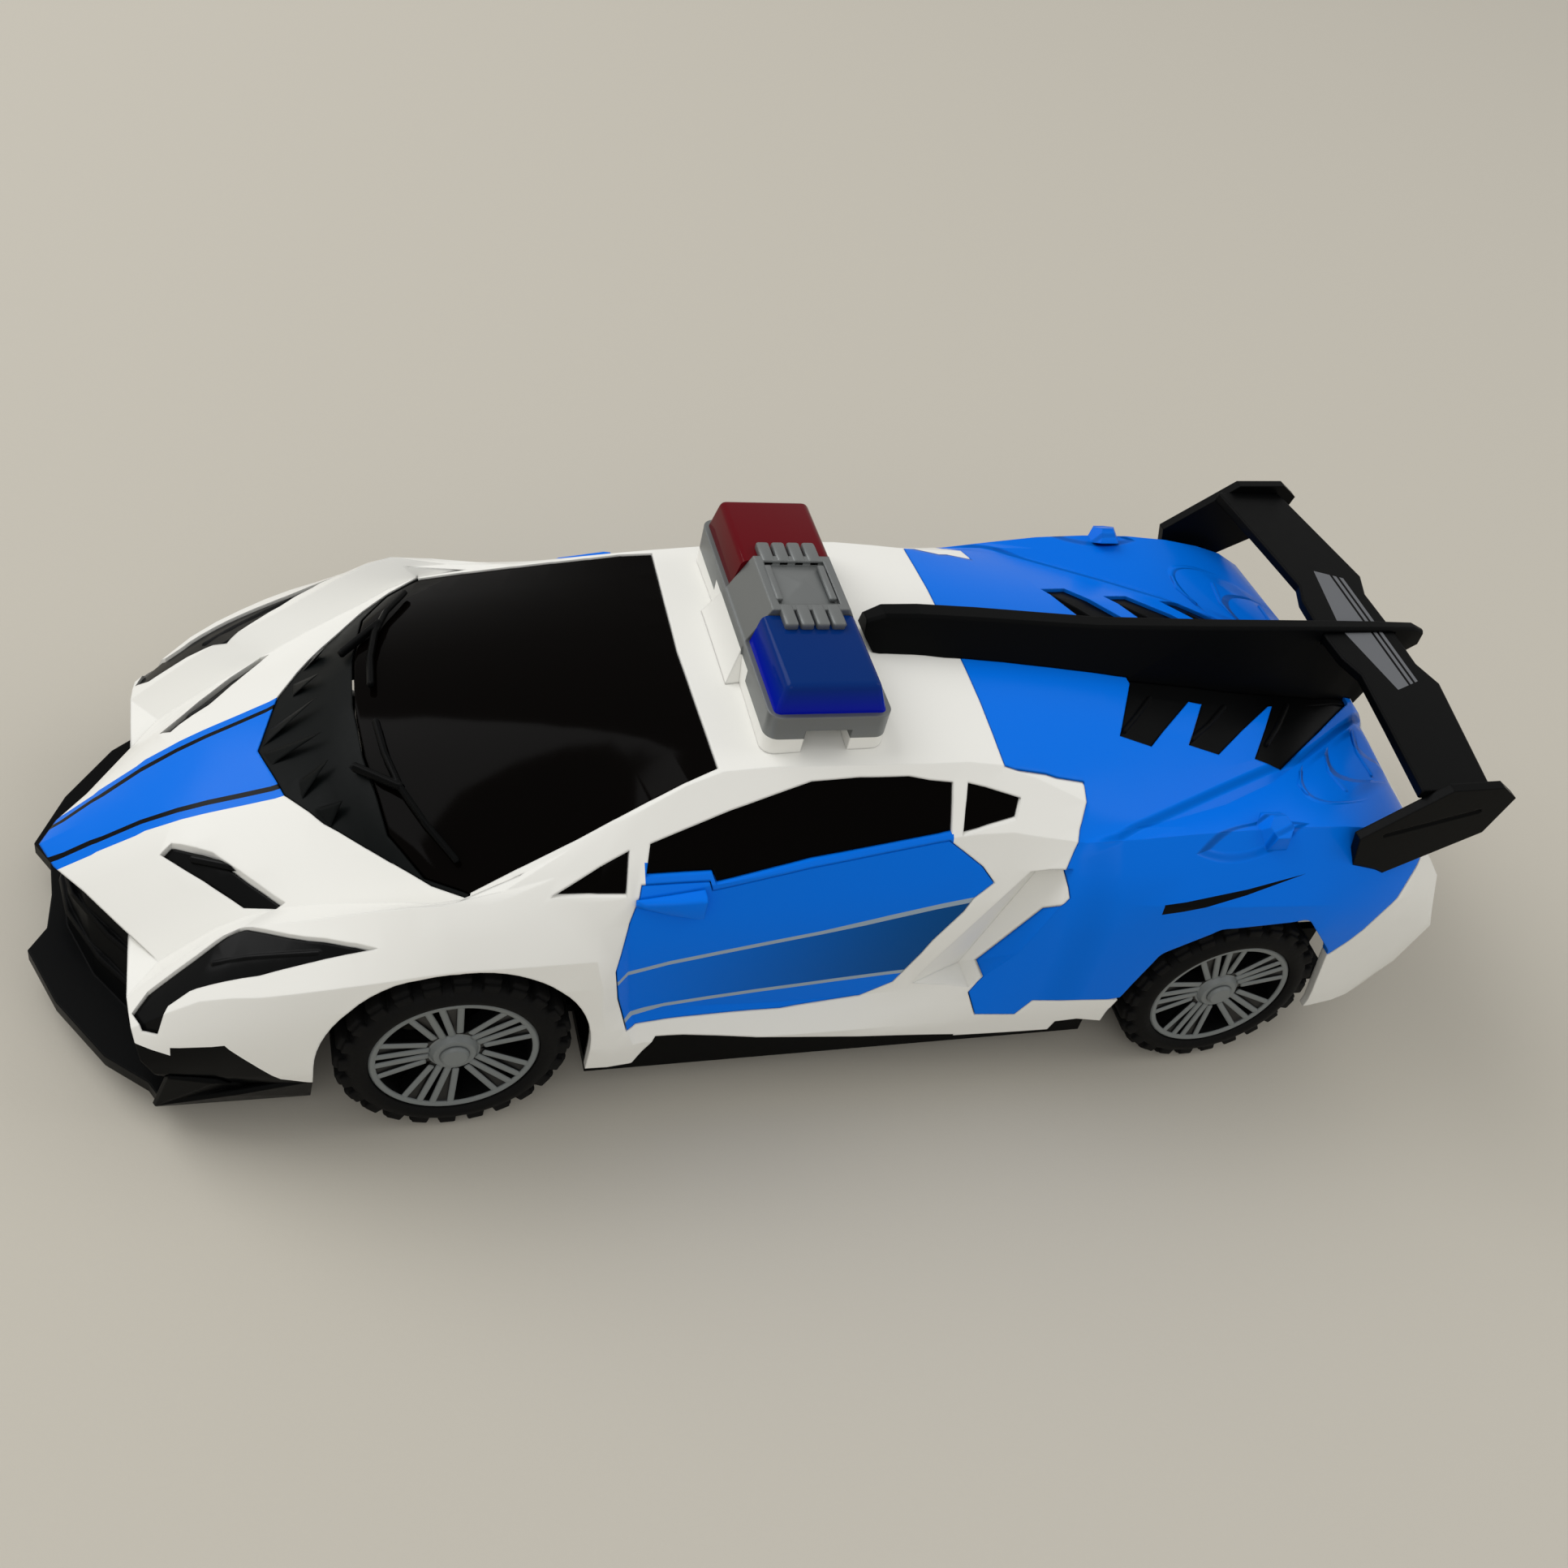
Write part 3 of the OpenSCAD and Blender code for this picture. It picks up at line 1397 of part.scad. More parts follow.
module speaker() {
  color([0.15, 0.15, 0.15]) centred()
    translate([speaker_x, 0, floor_top])
      rotate_extrude($fn = 64)
        polygon([
          [0, 1.4], [4, 1.4], [speaker_r - 2, 0.5], [speaker_r - 2, 0], [speaker_r, 0], [speaker_r, 1.6],
          [speaker_r - 4, 2.4], [6, speaker_h - 1.6], [6, speaker_h], [0, speaker_h]
        ]);
}

// Light bar on the roof

bar_round = 2.5;
foot_w = 7;

module rounded_slab(len, width, z0, z1, r) {
  translate([0, 0, z0])
    linear_extrude(z1 - z0)
      offset(r = r, $fn = 32) square([len - 2 * r, width - 2 * r], center = true);
}

module light_bar_block(grow) {
  translate([bar_x, 0, 0])
    rounded_slab(bar_d + 2 * grow, bar_w + 2 * grow, roof_h - 6, bar_rim + grow, bar_round);
}

module light_bar_base() {
  color(silver) centred() {
    difference() {
      union() {
        light_bar_block(0);
        translate([bar_x, 0, 0]) saddle_foot();
      }
      form(-seam / 2);
      // Gap under each end, between the feet
      for (side = [1, -1])
        translate([bar_x - bar_d / 2 + foot_w, side * (bar_w / 2 - 2) - 4, roof_h - 8])
          cube([bar_d - 2 * foot_w, 8, bar_rim - 3 - roof_h + 8]);
      translate([bar_x - bar_d / 2 + 3, -bar_w / 2 + 4, bar_rim - bar_cavity])
        cube([bar_d - 6, bar_w - 8, bar_cavity + 1]);
    }
    translate([bar_x, 0, 0]) saddle();
  }
}

// The foot of the centre block spreads out to the roof
saddle_spread = 3;
saddle_top_d = bar_d - 2 * lens_taper - 2;
pocket_edge = 1.5;
pocket_depth = 0.8;

module centre_slab(len, width, z) {
  translate([-len / 2, -width / 2, z]) cube([len, width, 0.5]);
}

module saddle_foot() {
  hull() {
    centre_slab(bar_d + 2 * saddle_spread, 2 * (saddle_half + saddle_spread), roof_h - 3);
    centre_slab(bar_d - 0.6, 2 * saddle_half, bar_rim - 0.5);
  }
}

module saddle() {
  // Centre block between the lenses, with a low pyramid in a pocket on top
  difference() {
    hull() {
      centre_slab(bar_d - 0.6, 2 * saddle_half, bar_rim - 0.5);
      centre_slab(saddle_top_d, 2 * saddle_half, saddle_top - 0.5);
    }
    translate([0, 0, saddle_top])
      cube([
        saddle_top_d - 2 * pocket_edge, 2 * (saddle_half - pocket_edge), 2 * pocket_depth
      ], center = true);
  }
  translate([0, 0, saddle_top - pocket_depth - 0.2])
    linear_extrude(1.6 * pocket_depth, scale = 0.12)
      square([saddle_top_d - 2 * pocket_edge - 1, 2 * (saddle_half - pocket_edge) - 1], center = true);
  translate([-bar_d / 2 + 3, -saddle_half, bar_rim - bar_cavity])
    cube([bar_d - 6, 2 * saddle_half, bar_cavity]);
  // Fingers that lap over the lenses
  for (side = [1, -1])
    for (i = [0:3])
      bar(finger_end(i, side, -1), finger_end(i, side, finger_reach), 0.55);
}
finger_pitch = 3.4;
finger_reach = 3.4;
function finger_end(i, side, out) = [(i - 1.5) * finger_pitch, side * (saddle_half + out), saddle_top - 0.6];

module lens_form(set) {
  low = lens_gap + set;
  hull() {
    translate([-bar_d / 2 + 1 + set, saddle_half + low, bar_rim])
      cube([bar_d - 2 - 2 * set, bar_w / 2 - saddle_half - 1 - low - set, 0.1]);
    translate([-bar_d / 2 + 1 + set, saddle_half + low, bar_rim + lens_h * 0.45 - set * 0.5])
      cube([bar_d - 2 - 2 * set, bar_w / 2 - saddle_half - 1 - low - set, 0.1]);
    translate([-bar_d / 2 + 1 + lens_taper + set, saddle_half + low, bar_rim + lens_h - set - 0.1])
      cube([bar_d - 2 - 2 * lens_taper - 2 * set, bar_w / 2 - saddle_half - 1 - lens_taper - low - set, 0.1]);
  }
}
lens_gap = 0.2;

module lens() {
  translate([bar_x, 0, 0])
    difference() {
      lens_form(0);
      translate([0, 0, -0.05]) lens_form(lens_wall);
    }
}

module red_lens() {
  color([0.55, 0.02, 0.05]) centred() right_side() lens();
}

module blue_lens() {
  color([0.02, 0.08, 0.6]) centred() lens();
}

module leds() {
  color([0.95, 0.95, 0.95]) centred()
    for (side = [1, -1])
      translate([bar_x, side * led_y, bar_rim - bar_cavity]) {
        translate([-6, -5, 0]) cube([12, 10, 1]);
        translate([0, 0, 1]) cylinder(r = led_r, h = 2, $fn = 40);
        translate([0, 0, 3]) cylinder(r1 = led_r, r2 = led_r * 0.5, h = 1.2, $fn = 40);
      }
}

body_shell();
rear_deck();
rear_bumper();
door_left();
door_right();
side_glass_left();
side_glass_right();
windshield();
cowl();
wipers();
mirror_left();
mirror_right();
headlight_left();
headlight_right();
hood_vent_left();
hood_vent_right();
front_bumper();
louvre_panel();
fin();
rear_wing();
end_plate_left();
end_plate_right();
tail_panel();
tail_lamp_left();
tail_lamp_right();
chassis();
front_axle();
rear_axle();
tyre_front_left();
tyre_front_right();
tyre_rear_left();
tyre_rear_right();
rim_front_left();
rim_front_right();
rim_rear_left();
rim_rear_right();
axle_gear();
compound_gear();
gear_pin();
motor_pinion();
motor_case();
gearbox_left();
gearbox_right();
cells();
contacts();
battery_door();
door_screw();
switch_body();
switch_knob();
circuit_board();
leds();
speaker();
light_bar_base();
red_lens();
blue_lens();
body_screws();
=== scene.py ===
"""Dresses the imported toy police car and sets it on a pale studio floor."""

import json
import math

import bmesh
import bpy
from mathutils import Matrix, Vector


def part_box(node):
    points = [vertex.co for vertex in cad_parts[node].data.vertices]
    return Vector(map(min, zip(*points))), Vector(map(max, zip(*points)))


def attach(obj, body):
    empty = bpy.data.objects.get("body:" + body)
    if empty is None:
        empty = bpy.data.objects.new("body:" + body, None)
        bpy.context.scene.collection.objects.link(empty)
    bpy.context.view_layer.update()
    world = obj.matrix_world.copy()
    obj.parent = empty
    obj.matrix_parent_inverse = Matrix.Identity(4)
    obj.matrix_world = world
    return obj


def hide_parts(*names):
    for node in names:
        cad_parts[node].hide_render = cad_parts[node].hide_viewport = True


bl_info = {
    "name": "Toy Police Car",
    "version": (1, 0, 0),
    "blender": (4, 5, 0),
    "location": "View3D > Sidebar > Toy Car",
    "description": "Finishes, livery and studio for a toy police car",
    "category": "Object",
}

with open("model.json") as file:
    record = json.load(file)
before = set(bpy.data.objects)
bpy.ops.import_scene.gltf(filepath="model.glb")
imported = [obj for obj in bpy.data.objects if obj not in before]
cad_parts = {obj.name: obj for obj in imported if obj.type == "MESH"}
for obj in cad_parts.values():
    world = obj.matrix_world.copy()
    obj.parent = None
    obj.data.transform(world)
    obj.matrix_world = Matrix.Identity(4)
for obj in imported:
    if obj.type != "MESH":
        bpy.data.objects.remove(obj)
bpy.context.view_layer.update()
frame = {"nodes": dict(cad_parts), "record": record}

MM = 0.001
# Soft radius that the moulding gives every edge
EDGE_ROUNDING = 0.45 * MM
RECORD = frame["record"]
BODY_OF = {n: b for b, nodes in RECORD["behaviour"]["bodies"].items() for n in nodes}

# The wheel centres tie the livery to the frame
WHEEL_LOW, WHEEL_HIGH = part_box("tyre_front_left")
FRONT_AXLE_X = (WHEEL_LOW.x + WHEEL_HIGH.x) / 2
REAR_LOW, REAR_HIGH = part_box("tyre_rear_left")
REAR_AXLE_X = (REAR_LOW.x + REAR_HIGH.x) / 2
MID_X = (FRONT_AXLE_X + REAR_AXLE_X) / 2


def colour_prop(name, words, value):
    """A colour that the user can change."""
    return bpy.props.FloatVectorProperty(
        name=name, description=words, subtype="COLOR", size=3, min=0, max=1, default=value
    )


def length_prop(name, words, value):
    """A length in metres that the user can change."""
    return bpy.props.FloatProperty(
        name=name, description=words, subtype="DISTANCE", unit="LENGTH", default=value, precision=5
    )


class CarFinish(bpy.types.PropertyGroup):
    """Colours of the car's plastics."""

    white: colour_prop("White", "Moulded white of the shell", (0.82, 0.815, 0.775))
    blue: colour_prop("Blue", "Blue of the deck, doors and stripe", (0.0006, 0.16, 0.78))
    # Deepest door tone: the print's own tone together with painted shade of the door's concave lower
    # part
    deep_blue: colour_prop("Deep blue", "Deepest tone of the print on the doors", (0.001, 0.06, 0.22))
    door_line: colour_prop("Door lines", "Silver lines printed on the doors", (0.30, 0.38, 0.46))
    bars: colour_prop("Wing bars", "Grey bars printed on the wing", (0.13, 0.135, 0.145))
    black: colour_prop("Black", "Black trim", (0.0016, 0.0018, 0.0019))
    glass: colour_prop("Windows", "Smoked window plastic", (0.0014, 0.0010, 0.0008))
    cowl: colour_prop("Cowl", "Satin cowl under the windshield", (0.0025, 0.0034, 0.0034))
    silver: colour_prop("Silver", "Silver grey of the light bar", (0.19, 0.20, 0.20))
    rim: colour_prop("Rims", "Grey of the rims", (0.17, 0.185, 0.185))
    tyre: colour_prop("Tyres", "Tyre rubber", (0.0022, 0.0022, 0.0022))
    # Lens tones are painted light and shade: the red lens is darker at its foot, the blue lens brighter
    # at its foot
    red_lens: colour_prop("Red lens", "Clear red of the right lens", (0.12, 0.002, 0.006))
    red_shaded_foot: colour_prop("Red lens edge", "Red at the foot of the lens", (0.085, 0.001, 0.004))
    blue_lens: colour_prop("Blue lens", "Clear blue of the left lens", (0.001, 0.026, 0.16))
    blue_lit_foot: colour_prop("Blue lens edge", "Blue at the foot of the lens", (0.002, 0.007, 0.40))


class CarLivery(bpy.types.PropertyGroup):
    """Sizes of the printed livery."""

    stripe_nose: length_prop("Stripe at the nose", "Half width of the hood stripe at the nose", 6.2 * MM)
    stripe_cowl: length_prop(
        "Stripe at the cowl", "Half width of the hood stripe at the cowl", 12.5 * MM
    )
    pin_inset: length_prop("Pin line inset", "Distance of the pin line from the stripe's edge", 1.7 * MM)
    pin_width: length_prop("Pin line", "Width of the black pin line", 1.1 * MM)
    door_line: length_prop("Door line", "Width of the silver lines on the doors", 0.9 * MM)
    dash_width: length_prop("Dash", "Width of the dash over the rear wheel at its front", 2.2 * MM)


class CarStage(bpy.types.PropertyGroup):
    """Camera and floor of the studio."""

    camera_place: bpy.props.FloatVectorProperty(
        name="Camera", description="Place of the camera from the middle of the wheelbase",
        subtype="TRANSLATION", unit="LENGTH", default=(0.112123, 0.227455, 0.264476)
    )
    azimuth: bpy.props.FloatProperty(
        name="Azimuth", description="Direction of the camera round the car",
        subtype="ANGLE", default=math.radians(154.716)
    )
    elevation: bpy.props.FloatProperty(
        name="Elevation", description="Tilt of the camera above the horizon",
        subtype="ANGLE", default=math.radians(42.906)
    )
    roll: bpy.props.FloatProperty(
        name="Roll", description="Roll of the camera about its axis",
        subtype="ANGLE", default=math.radians(15.8745)
    )
    lens: bpy.props.FloatProperty(
        name="Lens", description="Focal length on a 36 mm sensor", default=39.53, min=10, max=200
    )
    floor: colour_prop("Floor", "Pale studio floor", (0.52, 0.49, 0.424))


# Small helpers for shader trees


class Tree:
    """A short way to write a material's nodes."""

    def __init__(self, name):
        self.material = bpy.data.materials.new(name)
        self.material.use_nodes = True
        self.nodes = self.material.node_tree.nodes
        self.links = self.material.node_tree.links
        self.shader = self.nodes["Principled BSDF"]

    def new(self, kind, **settings):
        node = self.nodes.new(kind)
        for key, value in settings.items():
            setattr(node, key, value)
        return node

    def put(self, source, target):
        """Link a socket, or set a plain value."""
        if isinstance(source, bpy.types.NodeSocket):
            self.links.new(source, target)
        else:
            target.default_value = source

    def math(self, operation, a, b=0.0, c=0.0):
        node = self.new("ShaderNodeMath", operation=operation)
        for i, value in enumerate((a, b, c)):
            self.put(value, node.inputs[i])
        return node.outputs[0]

    def inside(self, value, low, high):
        """1 where low < value < high."""
        over = self.math("GREATER_THAN", value, low)
        under = self.math("LESS_THAN", value, high)
        return self.math("MULTIPLY", over, under)

    def soft(self, value, start, end):
        """Climbs smoothly from 0 at the start to 1 at the end."""
        node = self.new("ShaderNodeMapRange", interpolation_type="SMOOTHSTEP")
        for key, number in (("Value", value), ("From Min", start), ("From Max", end)):
            self.put(number, node.inputs[key])
        return node.outputs["Result"]

    def relief(self, height):
        """Adds a height in metres to the surface's shading."""
        bump = self.new("ShaderNodeBump")
        bump.inputs["Distance"].default_value = 1.0
        normal = self.shader.inputs["Normal"]
        self.links.new(normal.links[0].from_socket, bump.inputs["Normal"])
        self.put(height, bump.inputs["Height"])
        self.links.new(bump.outputs["Normal"], normal)

    def mix(self, mask, below, above):
        node = self.new("ShaderNodeMix", data_type="RGBA")
        self.put(mask, node.inputs["Factor"])
        for value, key in ((below, 6), (above, 7)):
            self.put((*value, 1) if isinstance(value, tuple) else value, node.inputs[key])
        return node.outputs[2]

    def place(self):
        """The Object coordinates as three sockets, measured from the middle of the wheelbase."""
        coords = self.new("ShaderNodeTexCoord")
        split = self.new("ShaderNodeSeparateXYZ")
        self.links.new(coords.outputs["Object"], split.inputs[0])
        along = self.math("SUBTRACT", split.outputs[0], MID_X)
        return along, split.outputs[1], split.outputs[2]

    def set(self, **values):
        for key, value in values.items():
            self.shader.inputs[key.replace("_", " ")].default_value = value

    def group(self, tree, **values):
        node = self.new("ShaderNodeGroup", node_tree=tree)
        for key, value in values.items():
            node.inputs[key].default_value = value
        return node


def moulded_surface():
    """Faint unevenness of moulded plastic: a roughness and a height."""
    name = "moulded surface"
    if name in bpy.data.node_groups:
        return bpy.data.node_groups[name]
    tree = bpy.data.node_groups.new(name, "ShaderNodeTree")
    for label, value in (("Low", 0.2), ("High", 0.3), ("Scale", 400.0)):
        socket = tree.interface.new_socket(label, in_out="INPUT", socket_type="NodeSocketFloat")
        socket.default_value = value
    for label in ("Roughness", "Height"):
        tree.interface.new_socket(label, in_out="OUTPUT", socket_type="NodeSocketFloat")
    start = tree.nodes.new("NodeGroupInput")
    end = tree.nodes.new("NodeGroupOutput")
    coords = tree.nodes.new("ShaderNodeTexCoord")
    noise = tree.nodes.new("ShaderNodeTexNoise")
    noise.inputs["Detail"].default_value = 3
    spread = tree.nodes.new("ShaderNodeMapRange")
    tree.links.new(coords.outputs["Object"], noise.inputs["Vector"])
    tree.links.new(start.outputs["Scale"], noise.inputs["Scale"])
    tree.links.new(noise.outputs["Fac"], spread.inputs["Value"])
    tree.links.new(start.outputs["Low"], spread.inputs["To Min"])
    tree.links.new(start.outputs["High"], spread.inputs["To Max"])
    tree.links.new(spread.outputs["Result"], end.inputs["Roughness"])
    tree.links.new(noise.outputs["Fac"], end.inputs["Height"])
    return tree


# Height of that unevenness
UNEVENNESS = 0.2 * MM


def plastic(name, colour, low=0.18, high=0.28, scale=400.0, bump=0.02, gloss=0.5):
    """A moulded plastic in one colour. Returns its tree, so that a livery can be added."""
    tree = Tree(name)
    tree.set(Base_Color=(*colour, 1), Specular_IOR_Level=gloss)
    edges = tree.new("ShaderNodeBevel", samples=4)
    edges.inputs["Radius"].default_value = EDGE_ROUNDING
    surface = tree.group(moulded_surface(), Low=low, High=high, Scale=scale)
    tree.links.new(surface.outputs["Roughness"], tree.shader.inputs["Roughness"])
    bumps = tree.new("ShaderNodeBump")
    bumps.inputs["Strength"].default_value = bump
    bumps.inputs["Distance"].default_value = UNEVENNESS
    tree.links.new(surface.outputs["Height"], bumps.inputs["Height"])
    tree.links.new(edges.outputs["Normal"], bumps.inputs["Normal"])
    tree.links.new(bumps.outputs["Normal"], tree.shader.inputs["Normal"])
    return tree


def finish_of(name, make):
    """The named material, made once."""
    return bpy.data.materials.get(name) or make(name)


def settings():
    return bpy.context.scene.toy_car_finish, bpy.context.scene.toy_car_livery


def white_plain(name):
    return plastic(name, tuple(settings()[0].white), gloss=0.25).material


# Ends of the hood stripe where its widths are given, and the foot of the hood
STRIPE_NOSE_X, STRIPE_COWL_X, HOOD_X = 140.7 * MM, 101.2 * MM, 85 * MM


def white_striped(name):
    """White shell with the blue hood stripe, its black pin lines, the bumper's step and the belt."""
    finish, livery = settings()
    tree = plastic(name, tuple(finish.white), gloss=0.08)
    along, across, up = tree.place()
    side = tree.math("ABSOLUTE", across)
    slope = (livery.stripe_cowl - livery.stripe_nose) / (STRIPE_COWL_X - STRIPE_NOSE_X)
    width = tree.math("MULTIPLY_ADD", along, slope, livery.stripe_nose - slope * STRIPE_NOSE_X)
    on_hood = tree.math("GREATER_THAN", along, HOOD_X)
    stripe = tree.math("MULTIPLY", tree.math("LESS_THAN", side, width), on_hood)
    from_edge = tree.math("SUBTRACT", width, side)
    pin = tree.inside(from_edge, livery.pin_inset, livery.pin_inset + livery.pin_width)
    pin = tree.math("MULTIPLY", pin, on_hood)
    colour = tree.mix(stripe, tuple(finish.white), tuple(finish.blue))
    colour = tree.mix(pin, colour, tuple(finish.black))
    colour = tree.mix(bumper_step(tree, along, side, up), colour, tuple(finish.black))
    colour = tree.mix(window_belt(tree, along, side, up), colour, tuple(finish.blue))
    tree.put(colour, tree.shader.inputs["Base Color"])
    return tree.material


# Upper edge of the black bumper on the front fenders:
# [rise per length, height at the middle of the wheelbase]
STEP_LINES = ((-0.3735, 66.74 * MM), (0.943, -81.1 * MM), (0.25, -9.375 * MM))
STEP_FRONT_X, STEP_FRONT_Z = 120.8 * MM, 20.2 * MM
# Where the step ends towards the wheel and towards the middle of the car
STEP_REAR_X, STEP_INNER_Y = 94 * MM, 36 * MM


def bumper_step(tree, along, side, up):
    """1 where the black bumper climbs over the foot of the front fenders."""
    climb, fall, foot = (tree.math("MULTIPLY_ADD", along, *line) for line in STEP_LINES)
    edge = tree.math("MAXIMUM", tree.math("MINIMUM", climb, fall), foot)
    behind = tree.math("LESS_THAN", along, STEP_FRONT_X)
    rear = tree.math("MULTIPLY", behind, tree.math("LESS_THAN", up, edge))
    ahead = tree.math("SUBTRACT", 1.0, behind)
    front = tree.math("MULTIPLY", ahead, tree.math("LESS_THAN", up, STEP_FRONT_Z))
    ahead_of_wheel = tree.math("GREATER_THAN", along, STEP_REAR_X)
    near = tree.math("MULTIPLY", ahead_of_wheel, tree.math("GREATER_THAN", side, STEP_INNER_Y))
    return tree.math("MULTIPLY", tree.math("ADD", rear, front), near)


# Strip between the doors and the side windows: rise per length, height at the middle of the wheelbase,
# lowest height, half width, rear end and front end
BELT_LINE = (-0.083, 55.66 * MM, 53.1 * MM, 1.7 * MM, -10.6 * MM, 44.7 * MM)
BELT_INNER_Y = 38 * MM


def window_belt(tree, along, side, up):
    """1 on the strip of the shell between a door and its window, which is blue like the door."""
    rise, height, lowest, half, rear, front = BELT_LINE
    middle = tree.math("MAXIMUM", tree.math("MULTIPLY_ADD", along, rise, height), lowest)
    strip = tree.math("LESS_THAN", tree.math("ABSOLUTE", tree.math("SUBTRACT", up, middle)), half)
    outside = tree.math("GREATER_THAN", side, BELT_INNER_Y)
    reach = tree.math("MULTIPLY", tree.inside(along, rear, front), outside)
    return tree.math("MULTIPLY", strip, reach)


def blue_gloss(name):
    return plastic(name, tuple(settings()[0].blue), gloss=0.07).material


# Silver lines on a door, which climb towards the rear:
# [rise per length, height at the middle of the wheelbase]
DOOR_UPPER_LINE = (0.178, 43.7 * MM)
DOOR_LOWER_LINE = (0.091, 28.9 * MM)
# Where the darker band between them, partly the print's own tone and partly painted shade, starts and
# where it is full
DOOR_DARKENING_FRONT_X, DOOR_DARKENING_REAR_X = 60 * MM, -22 * MM


def over_line(tree, along, up, line):
    """Height over a line that climbs towards the rear."""
    rise, height = line
    return tree.math("MULTIPLY_ADD", along, rise, tree.math("SUBTRACT", up, height))


def door_blue(name):
    """Blue door with two fine silver lines and a band between them that darkens towards the rear: partly
    the print's own tone, partly painted shade of the door's concave lower part.
    """
    finish, livery = settings()
    tree = plastic(name, tuple(finish.blue), gloss=0.07)
    along, across, up = tree.place()
    upper = over_line(tree, along, up, DOOR_UPPER_LINE)
    lower = over_line(tree, along, up, DOOR_LOWER_LINE)
    half = livery.door_line / 2
    above_lower = tree.math("GREATER_THAN", lower, 0.0)
    between = tree.math("MULTIPLY", tree.math("LESS_THAN", upper, 0.0), above_lower)
    # Painted shade with the print: the band between the lines darkens towards the rear
    print_and_shade_band = tree.math("MULTIPLY", between, tree.soft(along, DOOR_DARKENING_FRONT_X, DOOR_DARKENING_REAR_X))
    lines = tree.math("ADD", tree.inside(upper, -half, half), tree.inside(lower, -half, half))
    colour = tree.mix(print_and_shade_band, tuple(finish.blue), tuple(finish.deep_blue))
    colour = tree.mix(lines, colour, tuple(finish.door_line))
    tree.put(colour, tree.shader.inputs["Base Color"])
    return tree.material


# Dash over a rear wheel: its line, its ends and how far out it starts
DASH_LINE = (0.2, 36.7 * MM)
DASH_FRONT_X, DASH_REAR_X, DASH_INNER_Y = -52 * MM, -81 * MM, 47 * MM


def deck_blue(name):
    """Blue deck with a tapering black dash over each rear wheel."""
    finish, livery = settings()
    tree = plastic(name, tuple(finish.blue), gloss=0.07)
    along, across, up = tree.place()
    off_line = tree.math("ABSOLUTE", over_line(tree, along, up, DASH_LINE))
    widening = livery.dash_width / 2 / (DASH_FRONT_X - DASH_REAR_X)
    taper = tree.math("MULTIPLY_ADD", along, widening, -DASH_REAR_X * widening)
    between = tree.inside(along, DASH_REAR_X, DASH_FRONT_X)
    dash = tree.math("MULTIPLY", tree.math("LESS_THAN", off_line, taper), between)
    outside = tree.math("GREATER_THAN", tree.math("ABSOLUTE", across), DASH_INNER_Y)
    dash = tree.math("MULTIPLY", dash, outside)
    tree.put(tree.mix(dash, tuple(finish.blue), tuple(finish.black)), tree.shader.inputs["Base Color"])
    tree.relief(deck_relief(tree, along, tree.math("ABSOLUTE", across)))
    return tree.material


# Crease between the deck and the fenders, as lines:
# [spread per length, place across at the middle of the wheelbase]
CREASE_LINES = ((0.137, 49.8 * MM), (0.4187, 61.8 * MM), (0.64, 82.4 * MM))
# Width and height of the step at the crease, and where it starts and is full
CREASE_WIDTH, CREASE_STEP = 2.6 * MM, 2.8 * MM
CREASE_START_X, CREASE_FULL_X = -34 * MM, -44 * MM
# Recess round the fuel cap: middle, spread per length, place across, half length, half width, depth
EYE = (-69.7 * MM, 0.1456, 54.85 * MM, 11.5 * MM, 2.6 * MM, 1.8 * MM)
# Where its slope starts and ends, from its edge outwards
EYE_START, EYE_END = 0.5 * MM, -1.0 * MM
# Curved ripples behind the louvres: direction backwards and outwards as [along, across],
# first ripple, pitch, middle, bend per metre, height
RIPPLES = ((-0.81, -0.58), (-0.58, 0.81), 52 * MM, 13 * MM, 79.4 * MM, 207.0, 1.3 * MM)
# Steepness of a ripple's far side, width of the soft ends, and where the ripples end outwards
RIPPLE_FALL, RIPPLE_SOFT = 7.0, 2 * MM
RIPPLE_FULL, RIPPLE_END = 83 * MM, 87 * MM


